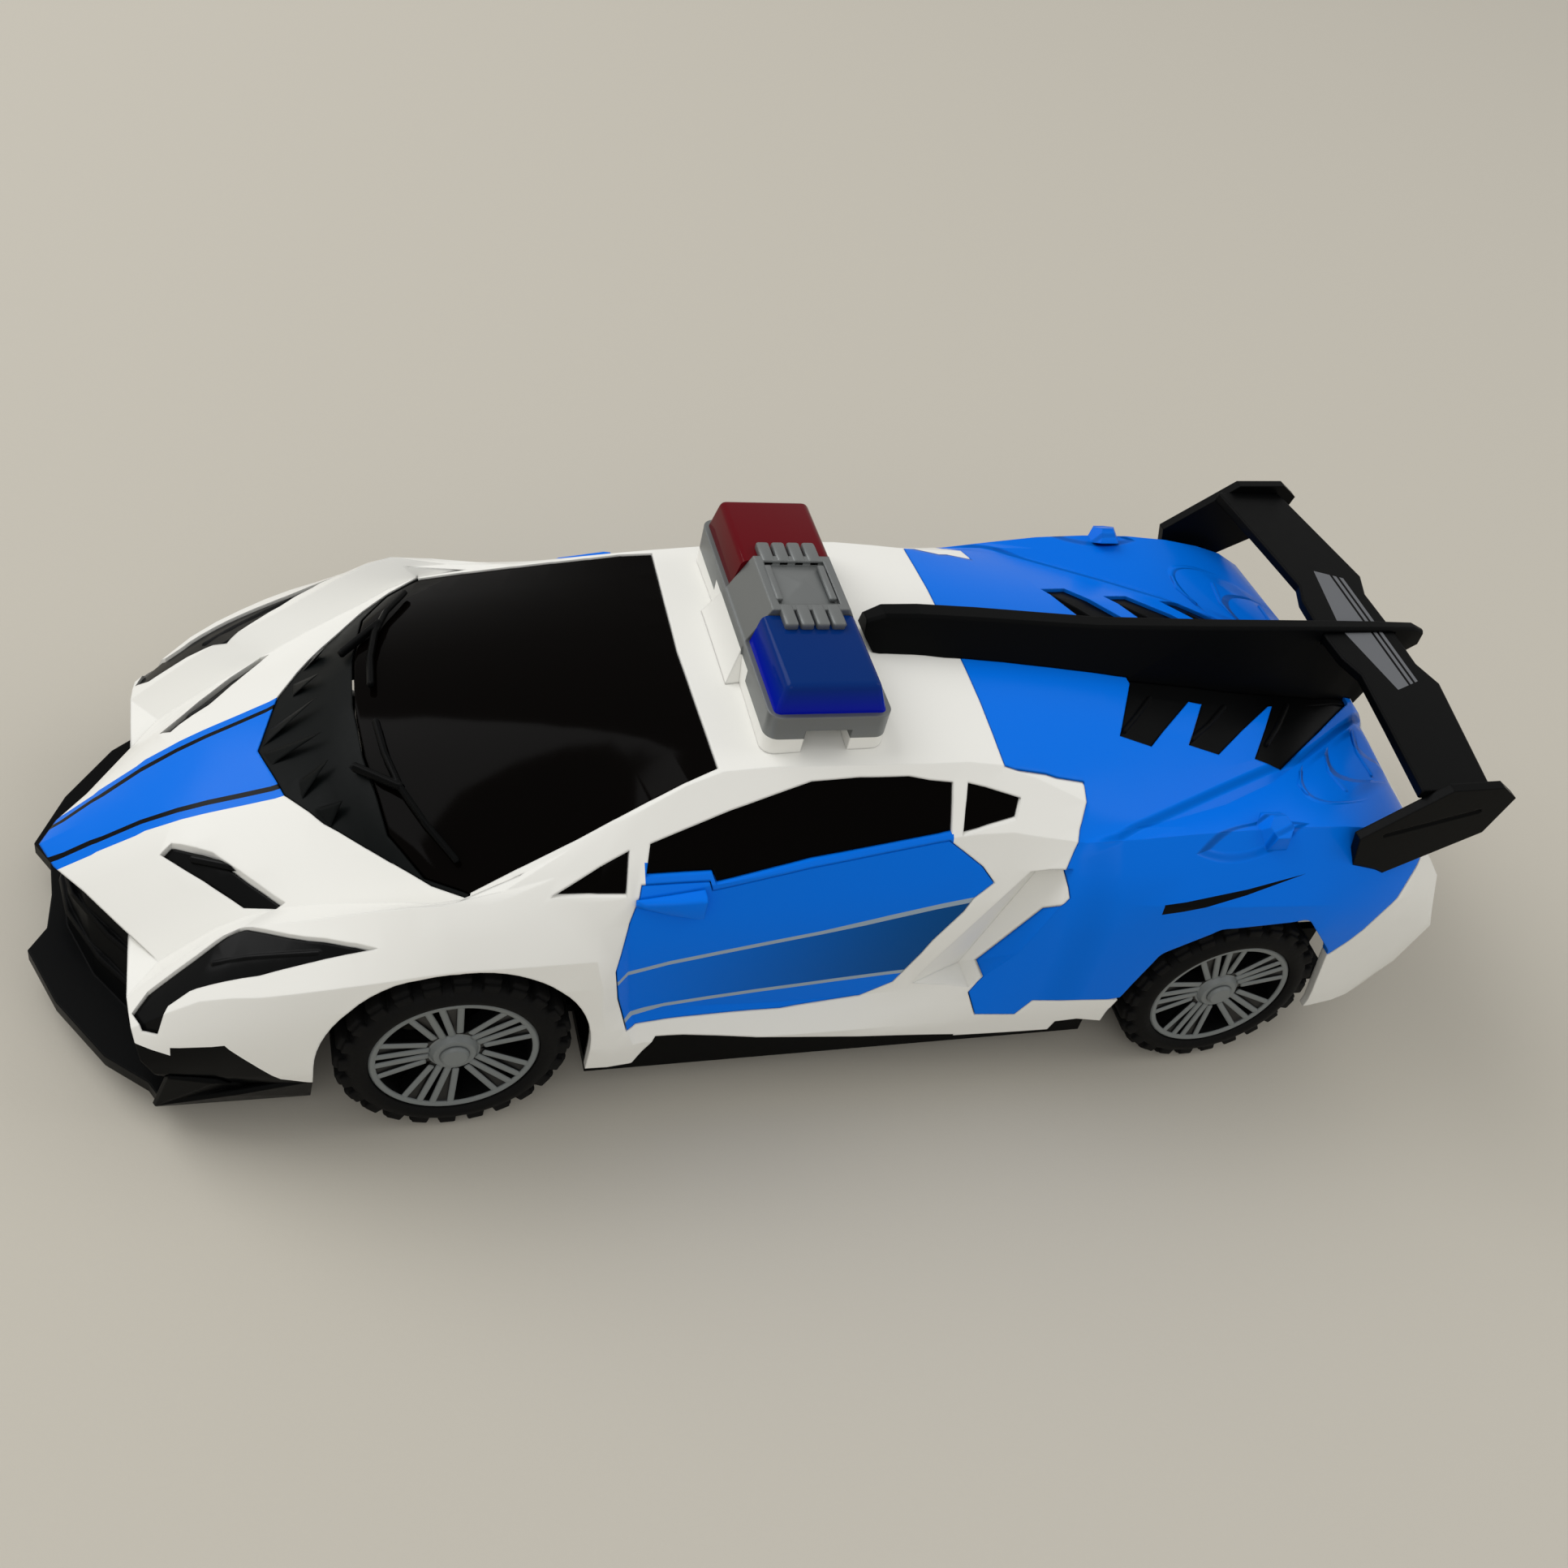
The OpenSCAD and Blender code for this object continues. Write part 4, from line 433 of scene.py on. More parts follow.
def deck_relief(tree, along, side):
    """Height of the crease, the recesses and the ripples moulded in the deck."""
    first, second, third = (tree.math("MULTIPLY_ADD", along, *line) for line in CREASE_LINES)
    crease = tree.math("MINIMUM", tree.math("MINIMUM", first, second), third)
    off_crease = tree.math("SUBTRACT", side, crease)
    reach = tree.soft(along, CREASE_START_X, CREASE_FULL_X)
    step = tree.math("MULTIPLY", tree.soft(off_crease, -CREASE_WIDTH, 0.0), reach)
    height = tree.math("MULTIPLY", step, CREASE_STEP)

    middle, spread, across, half_length, half_width, depth = EYE
    run = tree.math("DIVIDE", tree.math("SUBTRACT", along, middle), half_length)
    narrowing = tree.math("SUBTRACT", 1.0, tree.math("MULTIPLY", run, run))
    width = tree.math("MULTIPLY", narrowing, half_width)
    off_eye = tree.math("SUBTRACT", side, tree.math("MULTIPLY_ADD", along, spread, across))
    rim = tree.math("SUBTRACT", tree.math("ABSOLUTE", off_eye), width)
    height = tree.math("MULTIPLY_ADD", tree.soft(rim, EYE_START, EYE_END), -depth, height)

    (ax, ay), (bx, by), start, pitch, mid, bend, crest = RIPPLES
    back = tree.math("MULTIPLY_ADD", side, ay, tree.math("MULTIPLY", along, ax))
    out = tree.math("MULTIPLY_ADD", side, by, tree.math("MULTIPLY", along, bx))
    off_mid = tree.math("SUBTRACT", out, mid)
    bow = tree.math("MULTIPLY", tree.math("MULTIPLY", off_mid, off_mid), bend)
    curve = tree.math("SUBTRACT", back, bow)
    phase = tree.math("FRACT", tree.math("DIVIDE", tree.math("SUBTRACT", curve, start), pitch))
    fall = tree.math("MULTIPLY", tree.math("SUBTRACT", 1.0, phase), RIPPLE_FALL)
    ripple = tree.math("MULTIPLY", tree.math("MINIMUM", phase, fall), crest)
    outwards = tree.soft(out, RIPPLE_END, RIPPLE_FULL)
    reach = tree.math("MULTIPLY", tree.soft(off_crease, 0.0, RIPPLE_SOFT), outwards)
    reach = tree.math("MULTIPLY", reach, tree.soft(curve, start - RIPPLE_SOFT, start))
    return tree.math("MULTIPLY_ADD", ripple, reach, height)


def black_gloss(name):
    return plastic(name, tuple(settings()[0].black), 0.16, 0.26, gloss=0.1).material


def black_satin(name):
    return plastic(name, tuple(settings()[0].black), 0.3, 0.42, 900.0, 0.04, gloss=0.05).material


# Wide bar of the wing: [change outwards, front edge at the fin] and its rear edge
WIDE_BAR_LINE, WIDE_BAR_REAR_X = (-0.18, -106.4 * MM), -113 * MM
# Fine bars: [rear edge, front edge]
FINE_BARS = ((-114.4 * MM, -113.6 * MM), (-115.8 * MM, -115 * MM))
# Outer end of all bars: [change along the car, place at the middle of the wheelbase]
BAR_END_LINE = (0.4, 62.6 * MM)


def wing_black(name):
    """Black wing with one wide and two fine grey bars each side of the fin."""
    finish = settings()[0]
    tree = plastic(name, tuple(finish.black), 0.3, 0.42, gloss=0.05)
    along, across, up = tree.place()
    side = tree.math("ABSOLUTE", across)
    # The wide bar narrows outwards
    front = tree.math("MULTIPLY_ADD", side, *WIDE_BAR_LINE)
    ahead_of_rear = tree.math("GREATER_THAN", along, WIDE_BAR_REAR_X)
    bars = tree.math("MULTIPLY", tree.math("LESS_THAN", along, front), ahead_of_rear)
    for fine in FINE_BARS:
        bars = tree.math("ADD", bars, tree.inside(along, *fine))
    end = tree.math("MULTIPLY_ADD", along, *BAR_END_LINE)
    bars = tree.math("MULTIPLY", bars, tree.math("LESS_THAN", side, end))
    tree.put(tree.mix(bars, tuple(finish.black), tuple(finish.bars)), tree.shader.inputs["Base Color"])
    return tree.material


def smoked(name):
    return plastic(name, tuple(settings()[0].glass), 0.05, 0.09, 200.0, 0.004, gloss=0.025).material


def cowl_grey(name):
    return plastic(name, tuple(settings()[0].cowl), 0.36, 0.46, 800.0, 0.04, gloss=0.06).material


# Share of metal in the silver paint
SILVER_METAL = 0.6
# Height of the silver under a lens, and how far its rim stands out
BAR_RIM = 4.9 * MM
BAR_EDGE = 1.3 * MM


def silver_grey(name):
    tree = plastic(name, tuple(settings()[0].silver), 0.32, 0.44)
    tree.set(Metallic=SILVER_METAL)
    return tree.material


def bar_silver(name):
    """Silver light bar on a pad in the white of the roof."""
    finish = settings()[0]
    tree = plastic(name, tuple(finish.silver), 0.32, 0.44)
    along, across, up = tree.place()
    low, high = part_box("blue_lens")
    pad = tree.math("LESS_THAN", up, low.z - BAR_RIM)
    ahead = tree.math("GREATER_THAN", along, high.x + BAR_EDGE - MID_X)
    behind = tree.math("LESS_THAN", along, low.x - BAR_EDGE - MID_X)
    middle = tree.math("LESS_THAN", tree.math("ABSOLUTE", across), low.y + BAR_RIM)
    skirt = tree.math("MULTIPLY", middle, tree.math("LESS_THAN", up, low.z - BAR_RIM / 2))
    for mask in (ahead, behind, skirt):
        pad = tree.math("MAXIMUM", pad, mask)
    tree.put(tree.mix(pad, tuple(finish.silver), tuple(finish.white)), tree.shader.inputs["Base Color"])
    tree.put(tree.math("MULTIPLY_ADD", pad, -SILVER_METAL, SILVER_METAL), tree.shader.inputs["Metallic"])
    return tree.material


# Depth past which a rim gets painted shade, in black: [change with the radius, depth at the axle]
SHADE_DEPTH_LINE = (-0.1235, 2.09 * MM)


def rim_grey(name):
    """Grey rim with painted shade: black wherever its face lies deep between the hub, ribs and lip, for
    the dark gaps between the spokes.
    """
    finish = settings()[0]
    tree = plastic(name, tuple(finish.rim), 0.34, 0.46)
    along, across, up = tree.place()
    from_axle = tree.math("SUBTRACT", tree.math("ABSOLUTE", along), FRONT_AXLE_X - MID_X)
    height = tree.math("SUBTRACT", up, (WHEEL_LOW.z + WHEEL_HIGH.z) / 2)
    square = tree.math("MULTIPLY_ADD", height, height, tree.math("MULTIPLY", from_axle, from_axle))
    depth = tree.math("SUBTRACT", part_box("rim_front_left")[1].y, tree.math("ABSOLUTE", across))
    limit = tree.math("MULTIPLY_ADD", tree.math("SQRT", square), *SHADE_DEPTH_LINE)
    # Painted shade: the deep face of the rim takes the black trim colour
    recess_shade = tree.math("GREATER_THAN", depth, limit)
    tree.put(tree.mix(recess_shade, tuple(finish.rim), tuple(finish.black)), tree.shader.inputs["Base Color"])
    return tree.material


def tyre_rubber(name):
    return plastic(name, tuple(settings()[0].tyre), 0.62, 0.78, 1500.0, 0.12, gloss=0.14).material


def clear_lens(name, top, edge):
    """Clear coloured plastic over the lamps, with painted light and shade: its top and its foot take
    different tones for how light falls on them.
    """
    tree = Tree(name)
    tree.set(Roughness=0.07, IOR=1.46, Transmission_Weight=0.08, Specular_IOR_Level=0.06)
    along, across, up = tree.place()
    low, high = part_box("blue_lens")
    # Painted light and shade: the tone moves from the foot to the top of the lens
    rise = tree.math("DIVIDE", tree.math("SUBTRACT", up, low.z), high.z - low.z)
    tree.put(tree.mix(rise, tuple(edge), tuple(top)), tree.shader.inputs["Base Color"])
    return tree.material


def red_clear(name):
    finish = settings()[0]
    return clear_lens(name, finish.red_lens, finish.red_shaded_foot)


def blue_clear(name):
    finish = settings()[0]
    return clear_lens(name, finish.blue_lens, finish.blue_lit_foot)


def bare_metal(name, colour, rough):
    tree = Tree(name)
    tree.set(Base_Color=(*colour, 1), Metallic=1.0, Roughness=rough)
    return tree.material


def drawn_steel(name):
    return bare_metal(name, (0.55, 0.55, 0.56), 0.3)


def turned_brass(name):
    return bare_metal(name, (0.65, 0.45, 0.15), 0.3)


def natural_plastic(name):
    return plastic(name, (0.7, 0.7, 0.65), 0.4, 0.5).material


def cell_wrap(name):
    return plastic(name, (0.03, 0.18, 0.08), 0.3, 0.4).material


def board_green(name):
    return plastic(name, (0.02, 0.13, 0.05), 0.3, 0.4).material


# Pieces


# Angles in degrees past which a panel, a new piece, a mirror and a wiper show a sharp edge
PANEL_CREASE, PIECE_CREASE, MIRROR_CREASE, WIPER_CREASE = 22, 40, 50, 60
# Edges rounded in the mesh: how sharp they have to be, in degrees, and their width
ROUNDED_ANGLE = 40
TRIM_ROUND, RIM_ROUND = 0.3 * MM, 0.2 * MM
# Points of a CAD node that are nearer than this are one
SAME_POINT = 0.002 * MM
# Bevel of a block, as a share of its smallest side
BLOCK_ROUND = 0.3


def shade(shape, crease):
    """Smooth faces, with a sharp edge wherever they meet at more than the crease's angle."""
    limit = math.radians(crease)
    for face in shape.faces:
        face.smooth = True
    for edge in shape.edges:
        edge.smooth = len(edge.link_faces) == 2 and edge.calc_face_angle(math.pi) < limit


def smooth_copy(node, make, crease=PANEL_CREASE, bevel=0.0):
    """Stands for a CAD node with merged, smoothly shaded faces and edges that catch the light."""
    shape = bmesh.new()
    shape.from_mesh(frame["nodes"][node].data)
    bmesh.ops.remove_doubles(shape, verts=shape.verts, dist=SAME_POINT)
    bmesh.ops.dissolve_degenerate(shape, edges=shape.edges, dist=SAME_POINT)
    shade(shape, crease)
    mesh = bpy.data.meshes.new("dressed_" + node)
    shape.to_mesh(mesh)
    shape.free()
    mesh.materials.append(finish_of(make.__name__.replace("_", " "), make))
    piece = bpy.data.objects.new("dressed_" + node, mesh)
    bpy.context.scene.collection.objects.link(piece)
    if bevel:
        rounding = piece.modifiers.new("edges", "BEVEL")
        rounding.width = bevel
        rounding.segments = 2
        rounding.limit_method = "ANGLE"
        rounding.angle_limit = math.radians(ROUNDED_ANGLE)
        rounding.use_clamp_overlap = True
    weighting = piece.modifiers.new("shading", "WEIGHTED_NORMAL")
    weighting.keep_sharp = True
    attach(piece, BODY_OF[node])
    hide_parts(node)
    return piece


def new_piece(name, shape, make, body):
    """Turns a bmesh into a piece that rides on a body."""
    bmesh.ops.recalc_face_normals(shape, faces=shape.faces)
    mesh = bpy.data.meshes.new(name)
    shape.to_mesh(mesh)
    shape.free()
    mesh.materials.append(finish_of(make.__name__.replace("_", " "), make))
    piece = bpy.data.objects.new(name, mesh)
    bpy.context.scene.collection.objects.link(piece)
    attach(piece, body)
    return piece


def add_block(shape, size, turns):
    """A bevelled block in a bmesh, sized and then moved by a list of matrices, the first one first."""
    made = bmesh.ops.create_cube(shape, size=1)
    verts = made["verts"]
    bmesh.ops.scale(shape, vec=size, verts=verts)
    edges = list({edge for vert in verts for edge in vert.link_edges})
    rounded = bmesh.ops.bevel(
        shape, geom=edges, offset=min(size) * BLOCK_ROUND, affect="EDGES", segments=2, profile=0.5,
        material=-1
    )
    new_verts = {vert for face in rounded["faces"] for vert in face.verts}
    verts = list(new_verts | {vert for vert in verts if vert.is_valid})
    for turn in turns:
        bmesh.ops.transform(shape, matrix=turn, verts=verts)


SPOKES = 5
# Ribs of a spoke: [sideways start, sideways end, inner radius, outer radius, width] in millimetres
SPOKE_RIBS = (
    (-0.8, -1.2, 4.2, 13.8, 1.25),
    (0.8, 1.2, 4.2, 13.8, 1.25),
    (-2.2, -4.5, 4.6, 13.5, 1.25),
    (2.2, 4.5, 4.6, 13.5, 1.25),
)
# Depth of the spokes' face behind the outermost plane of the rim, at the hub and at the rim
SPOKE_DEPTH = (1.7 * MM, 0.6 * MM)
RIB_THICKNESS = 1.0 * MM
# Cap in the middle of a rim: radius at the foot and at the top, and height
HUB_CAP = (2.6 * MM, 2.1 * MM, 0.7 * MM)
CAP_SIDES = 30


def rim_ribs(end, side):
    """Fine ribs that run along the spokes of one rim."""
    node = f"rim_{end}_{side}"
    centre, sign = wheel_face(node, side)
    shape = bmesh.new()
    for spoke in range(SPOKES):
        turn = Matrix.Rotation(math.tau * spoke / SPOKES, 4, "Y")
        for start, stop, inner, outer, width in SPOKE_RIBS:
            a = Vector((inner * MM, -sign * SPOKE_DEPTH[0], start * MM))
            b = Vector((outer * MM, -sign * SPOKE_DEPTH[1], stop * MM))
            run = b - a
            lay = Matrix.Translation((a + b) / 2) @ run.to_track_quat("X", "Z").to_matrix().to_4x4()
            size = (run.length, RIB_THICKNESS, width * MM)
            add_block(shape, size, (lay, turn, Matrix.Translation(centre)))
    foot, top, height = HUB_CAP
    stand = Matrix.Translation(centre) @ Matrix.Rotation(-sign * math.pi / 2, 4, "X")
    bmesh.ops.create_cone(
        shape, cap_ends=True, segments=CAP_SIDES, radius1=foot, radius2=top, depth=height, matrix=stand
    )
    return new_piece(f"rim_ribs_{end}_{side}", shape, rim_grey, BODY_OF[node])


# Section of a tyre without its lugs: [radius, depth behind the outer face] in millimetres
TYRE_SECTION = (
    (14.63, 0.6), (15.2, 0.1), (16.0, 0.0), (17.0, 0.25), (17.9, 0.8), (18.4, 1.7), (18.5, 3.2),
    (18.5, 13.8), (18.4, 15.3), (17.9, 16.2), (17.0, 16.75), (16.0, 17.0), (15.2, 16.9), (14.63, 16.4),
)
# Steps round a tyre, and lugs in each of its rows
TYRE_STEPS, LUGS = 96, 24
# Lugs as blocks, in millimetres: [radial size, axial size, size round the tyre,
# radius of the top, depth of the middle, share of a pitch]
LUG_BLOCKS = (
    (2.3, 7.0, 3.3, 20.25, 4.9, 0.0),
    (2.4, 1.1, 2.9, 19.4, 1.2, 0.0),
    (2.3, 7.0, 3.3, 20.25, 12.1, 0.5),
    (2.4, 1.1, 2.9, 19.4, 15.8, 0.5),
)


def wheel_face(node, side):
    """The middle of a wheel's outer face, and the way out of the car."""
    low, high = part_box(node)
    face_y = high.y if side == "left" else low.y
    return Vector(((low.x + high.x) / 2, face_y, (low.z + high.z) / 2)), 1 if side == "left" else -1


def lugged_tyre(end, side):
    """A tyre with two staggered rows of lugs."""
    node = f"tyre_{end}_{side}"
    centre, out = wheel_face(node, side)
    shape = bmesh.new()
    ring = [shape.verts.new((r * MM, -out * depth * MM, 0)) for r, depth in TYRE_SECTION]
    edges = [shape.edges.new((ring[i], ring[(i + 1) % len(ring)])) for i in range(len(ring))]
    bmesh.ops.spin(
        shape, geom=ring + edges, cent=(0, 0, 0), axis=(0, 1, 0), angle=math.tau, steps=TYRE_STEPS,
        use_merge=True
    )
    bmesh.ops.recalc_face_normals(shape, faces=shape.faces)
    core = set(shape.faces)
    pitch = math.tau / LUGS
    for radial, axial, around, top, depth, share in LUG_BLOCKS:
        place = Matrix.Translation(((top - radial / 2) * MM, -out * depth * MM, 0))
        stagger = Matrix.Rotation(share * pitch, 4, "Y")
        add_block(shape, (radial * MM, axial * MM, around * MM), (place, stagger))
    blocks = [face for face in shape.faces if face not in core]
    sides = {edge for face in blocks for edge in face.edges}
    corners = {vert for face in blocks for vert in face.verts}
    parts = blocks + list(sides) + list(corners)
    bmesh.ops.spin(
        shape, geom=parts, cent=(0, 0, 0), axis=(0, 1, 0), angle=pitch * (LUGS - 1), steps=LUGS - 1,
        use_duplicate=True
    )
    bmesh.ops.translate(shape, vec=centre, verts=shape.verts)
    shade(shape, PIECE_CREASE)
    piece = new_piece(f"lugged_{node}", shape, tyre_rubber, BODY_OF[node])
    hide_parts(node)
    return piece


# How far a lens' top is set in at the front, the rear and the outer end, and the radius of its edges
LENS_INSETS = (1.3 * MM, 2.2 * MM, 0.6 * MM)
LENS_ROUND = 1.1 * MM


def soft_lens(node, make):
    """A lens with steep sides and soft edges, in the box of its node."""
    low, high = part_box(node)
    out = 1 if low.y > 0 else -1
    front, rear, end = LENS_INSETS
    shape = bmesh.new()
    bmesh.ops.create_cube(shape, size=1)
    for vert in shape.verts:
        x, y, z = (point > 0 for point in vert.co)
        outer = y == (out > 0)
        inset = (-front if x else rear, -out * end if outer else 0) if z else (0, 0)
        vert.co = (
            (high.x if x else low.x) + inset[0],
            (high.y if y else low.y) + inset[1],
            high.z if z else low.z,
        )
    middle = (low + high) / 2
    rounded = []
    for edge in shape.edges:
        inner = all((v.co.y - middle.y) * out < 0 for v in edge.verts)
        foot = all(v.co.z < middle.z for v in edge.verts)
        if not foot and not inner:
            rounded.append(edge)
    bmesh.ops.bevel(
        shape, geom=rounded, offset=LENS_ROUND, affect="EDGES", segments=4, profile=0.5, material=-1
    )
    shade(shape, PIECE_CREASE)
    piece = new_piece("soft_" + node, shape, make, BODY_OF[node])
    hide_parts(node)
    return piece


# Ribs that lap over the lenses and bars along the centre block, in millimetres:
# [pitch, length, width, height, count] and [length, width, height, place ahead of the middle]
LAP_RIBS = (2.9, 5.6, 2.5, 1.7, 4)
CENTRE_BARS = ((9.5, 1.3, 0.9, 5.0), (9.5, 1.3, 0.9, -5.0))
# How far the ribs reach out over a lens, and how deep ribs and bars sit under the top of the base
LAP, RIB_SINK, BAR_SINK = 1.1 * MM, 0.1, 0.05


def bar_ribs():
    """Ribs and bars on the centre block of the light bar."""
    low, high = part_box("light_bar_base")
    middle_x = (low.x + high.x) / 2
    rib_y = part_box("blue_lens")[0].y + LAP
    shape = bmesh.new()
    pitch, length, width, height, count = LAP_RIBS
    for side in (1, -1):
        for i in range(count):
            place = Vector((middle_x + (i - (count - 1) / 2) * pitch * MM, side * rib_y, high.z))
            place.z -= (height / 2 + RIB_SINK) * MM
            add_block(shape, (width * MM, length * MM, height * MM), (Matrix.Translation(place),))
    for length, width, height, ahead in CENTRE_BARS:
        place = Vector((middle_x + ahead * MM, 0, high.z - (height / 2 + BAR_SINK) * MM))
        add_block(shape, (width * MM, length * MM, height * MM), (Matrix.Translation(place),))
    shade(shape, PIECE_CREASE)
    return new_piece("bar_ribs", shape, silver_grey, BODY_OF["light_bar_base"])


class CAR_OT_shell(bpy.types.Operator):
    """White shell with its hood stripe, and the tail corners"""

    bl_idname = "toy_car.shell"
    bl_label = "White shell"

    def execute(self, context):
        smooth_copy("body_shell", white_striped)
        smooth_copy("rear_bumper", white_plain)
        return {"FINISHED"}


class CAR_OT_blue_panels(bpy.types.Operator):
    """Blue deck, doors and mirrors"""

    bl_idname = "toy_car.blue_panels"
    bl_label = "Blue panels"

    def execute(self, context):
        smooth_copy("rear_deck", deck_blue)
        for side in ("left", "right"):
            smooth_copy("door_" + side, door_blue)
            smooth_copy("mirror_" + side, blue_gloss, crease=MIRROR_CREASE)
        return {"FINISHED"}


class CAR_OT_windows(bpy.types.Operator):
    """Windshield, side windows, cowl and wipers"""

    bl_idname = "toy_car.windows"
    bl_label = "Windows"

    def execute(self, context):
        smooth_copy("windshield", smoked)
        for side in ("left", "right"):
            smooth_copy("side_glass_" + side, smoked)
        smooth_copy("cowl", cowl_grey)
        smooth_copy("wipers", black_satin, crease=WIPER_CREASE)
        return {"FINISHED"}


class CAR_OT_trim(bpy.types.Operator):
    """Black bumper, vents, lamps, louvres, fin and wing"""

    bl_idname = "toy_car.trim"
    bl_label = "Black trim"

    def execute(self, context):
        smooth_copy("front_bumper", black_satin)
        smooth_copy("louvre_panel", black_satin)
        smooth_copy("fin", black_satin)
        smooth_copy("rear_wing", wing_black, bevel=TRIM_ROUND)
        smooth_copy("tail_panel", black_satin)
        for side in ("left", "right"):
            smooth_copy("headlight_" + side, black_gloss)
            smooth_copy("hood_vent_" + side, black_gloss)
            smooth_copy("end_plate_" + side, black_satin)
            smooth_copy("tail_lamp_" + side, red_clear, bevel=TRIM_ROUND)
        return {"FINISHED"}


class CAR_OT_light_bar(bpy.types.Operator):
    """Light bar on the roof with its two lenses"""

    bl_idname = "toy_car.light_bar"
    bl_label = "Light bar"

    def execute(self, context):
        smooth_copy("light_bar_base", bar_silver)
        bar_ribs()
        soft_lens("red_lens", red_clear)
        soft_lens("blue_lens", blue_clear)
        smooth_copy("leds", natural_plastic)
        return {"FINISHED"}


class CAR_OT_wheels(bpy.types.Operator):
    """Tyres, rims and axles"""

    bl_idname = "toy_car.wheels"
    bl_label = "Wheels"

    def execute(self, context):
        for end in ("front", "rear"):
            smooth_copy(end + "_axle", drawn_steel)
            for side in ("left", "right"):
                lugged_tyre(end, side)
                smooth_copy(f"rim_{end}_{side}", rim_grey, bevel=RIM_ROUND)
                rim_ribs(end, side)
        return {"FINISHED"}


class CAR_OT_drive(bpy.types.Operator):
    """Gears, motor and gearbox"""

    bl_idname = "toy_car.drive"
    bl_label = "Drive"

    def execute(self, context):
        for node in ("axle_gear", "compound_gear", "gearbox_left", "gearbox_right"):
            smooth_copy(node, natural_plastic)
        for node in ("gear_pin", "motor_case"):
            smooth_copy(node, drawn_steel)
        smooth_copy("motor_pinion", turned_brass)
        return {"FINISHED"}


class CAR_OT_floor_pan(bpy.types.Operator):
    """Chassis with its cells, switch and sound"""

    bl_idname = "toy_car.floor_pan"
    bl_label = "Floor pan"

    def execute(self, context):
        for node in ("chassis", "battery_door", "speaker"):
            smooth_copy(node, black_satin)
        for node in ("contacts", "door_screw", "body_screws"):
            smooth_copy(node, drawn_steel)
        for node in ("switch_body", "switch_knob"):
            smooth_copy(node, silver_grey)
        smooth_copy("cells", cell_wrap)
        smooth_copy("circuit_board", board_green)
        return {"FINISHED"}


# Half the length of the floor
FLOOR_REACH = 4
# Light from all round
SKY_COLOUR, SKY_STRENGTH = (1.0, 0.99, 0.965, 1), 0.55
# Lamps: [name, place, size, power], and the point that they face
LAMPS = (
    ("window", (1.0, -0.75, 1.3), 1.3, 16),
    ("bounce", (0.5, 1.3, 1.2), 1.1, 4.5),
    ("back", (-1.3, 0.1, 1.0), 0.9, 4),
)
LAMP_TARGET = Vector((0, 0, 0.03))


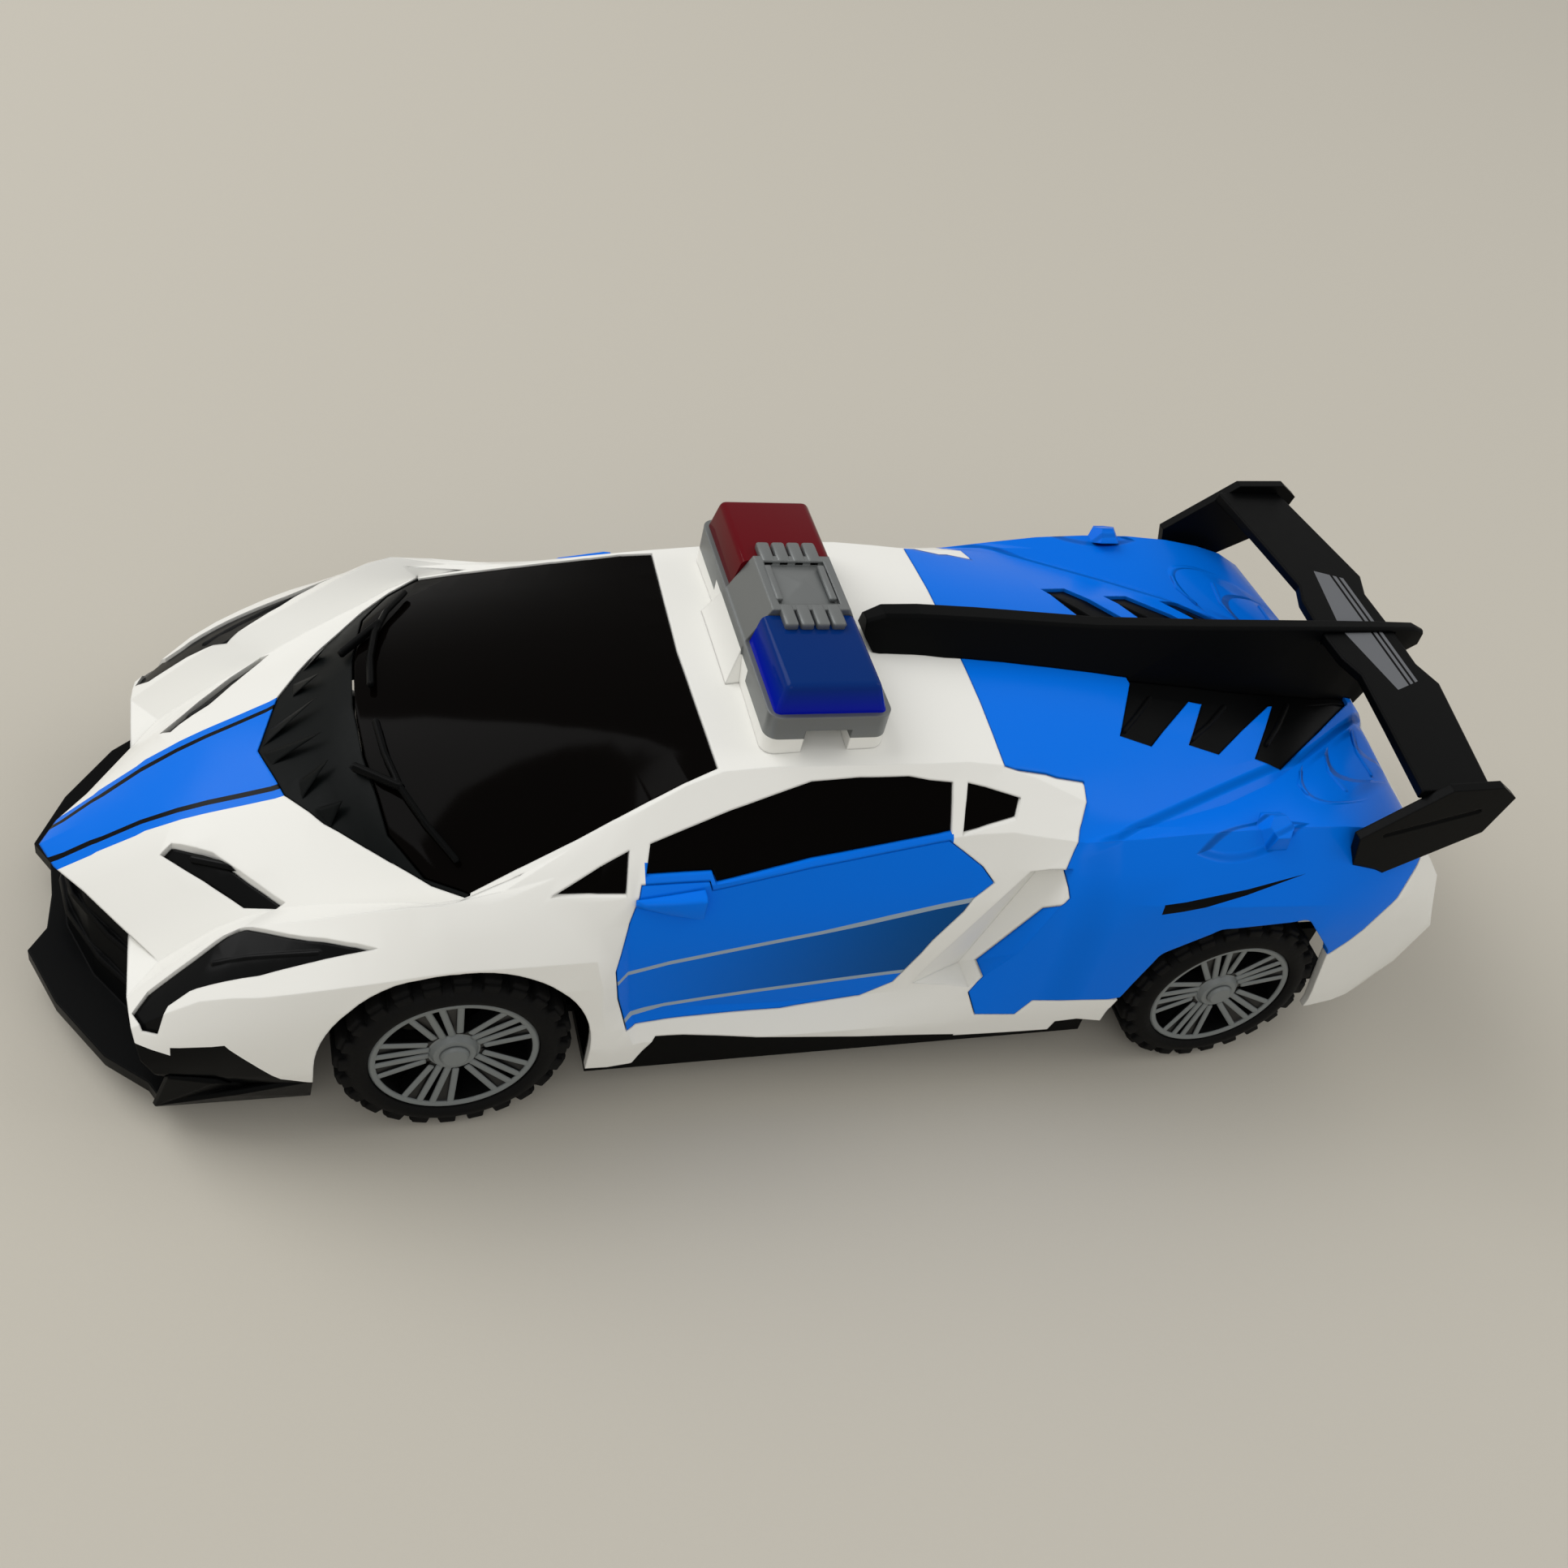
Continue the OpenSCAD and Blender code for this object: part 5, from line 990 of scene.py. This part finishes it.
class CAR_OT_stage(bpy.types.Operator):
    """Pale floor, soft lamps and the camera"""

    bl_idname = "toy_car.stage"
    bl_label = "Studio"

    def execute(self, context):
        stage = context.scene.toy_car_stage
        self.floor(stage)
        self.lamps()
        self.camera(context, stage)
        context.scene.view_settings.view_transform = "Standard"
        return {"FINISHED"}

    def floor(self, stage):
        shape = bmesh.new()
        bmesh.ops.create_grid(shape, x_segments=1, y_segments=1, size=FLOOR_REACH)
        mesh = bpy.data.meshes.new("studio_floor")
        shape.to_mesh(mesh)
        shape.free()
        mesh.materials.append(plastic("pale floor", tuple(stage.floor), 0.8, 0.95, 900.0, 0.1).material)
        floor = bpy.data.objects.new("studio_floor", mesh)
        bpy.context.scene.collection.objects.link(floor)

    def lamps(self):
        world = bpy.data.worlds.new("studio")
        world.use_nodes = True
        sky = world.node_tree.nodes["Background"]
        sky.inputs["Color"].default_value = SKY_COLOUR
        sky.inputs["Strength"].default_value = SKY_STRENGTH
        bpy.context.scene.world = world
        for name, place, size, power in LAMPS:
            data = bpy.data.lights.new(name, "AREA")
            data.size = size
            data.energy = power
            lamp = bpy.data.objects.new(name, data)
            lamp.location = place
            lamp.rotation_euler = (LAMP_TARGET - Vector(place)).to_track_quat("-Z", "Y").to_euler()
            bpy.context.scene.collection.objects.link(lamp)

    def camera(self, context, stage):
        az, el, roll = stage.azimuth, stage.elevation, stage.roll
        back = Vector((math.sin(az) * math.cos(el), -math.cos(az) * math.cos(el), math.sin(el)))
        level = Vector((0, 0, 1)).cross(back).normalized()
        upright = back.cross(level)
        right = math.cos(roll) * level + math.sin(roll) * upright
        up = math.cos(roll) * upright - math.sin(roll) * level
        data = bpy.data.cameras.new("photo_camera")
        data.sensor_width = 36
        data.lens = stage.lens
        data.clip_start = 0.01
        camera = bpy.data.objects.new("photo_camera", data)
        turn = Matrix((right, up, back)).transposed().to_4x4()
        place = Vector(stage.camera_place) + Vector((MID_X, 0, 0))
        camera.matrix_world = Matrix.Translation(place) @ turn
        context.scene.collection.objects.link(camera)
        context.scene.camera = camera


OPERATORS = (
    CAR_OT_shell,
    CAR_OT_blue_panels,
    CAR_OT_windows,
    CAR_OT_trim,
    CAR_OT_light_bar,
    CAR_OT_wheels,
    CAR_OT_drive,
    CAR_OT_floor_pan,
    CAR_OT_stage,
)


class CAR_PT_panel(bpy.types.Panel):
    """Lists the steps that dress the car"""

    bl_idname = "CAR_PT_panel"
    bl_label = "Toy Car"
    bl_space_type = "VIEW_3D"
    bl_region_type = "UI"
    bl_category = "Toy Car"

    def draw(self, context):
        for operator in OPERATORS:
            self.layout.operator(operator.bl_idname)


PROPERTIES = {
    "toy_car_finish": CarFinish,
    "toy_car_livery": CarLivery,
    "toy_car_stage": CarStage,
}
CLASSES = (*PROPERTIES.values(), *OPERATORS, CAR_PT_panel)


def register():
    for cls in CLASSES:
        bpy.utils.register_class(cls)
    for name, group in PROPERTIES.items():
        setattr(bpy.types.Scene, name, bpy.props.PointerProperty(type=group))


def unregister():
    for name in PROPERTIES:
        delattr(bpy.types.Scene, name)
    for cls in reversed(CLASSES):
        bpy.utils.unregister_class(cls)


def main():
    """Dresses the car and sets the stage."""
    register()
    for operator in OPERATORS:
        family, name = operator.bl_idname.split(".")
        getattr(getattr(bpy.ops, family), name)()


if __name__ == "__main__":
    main()
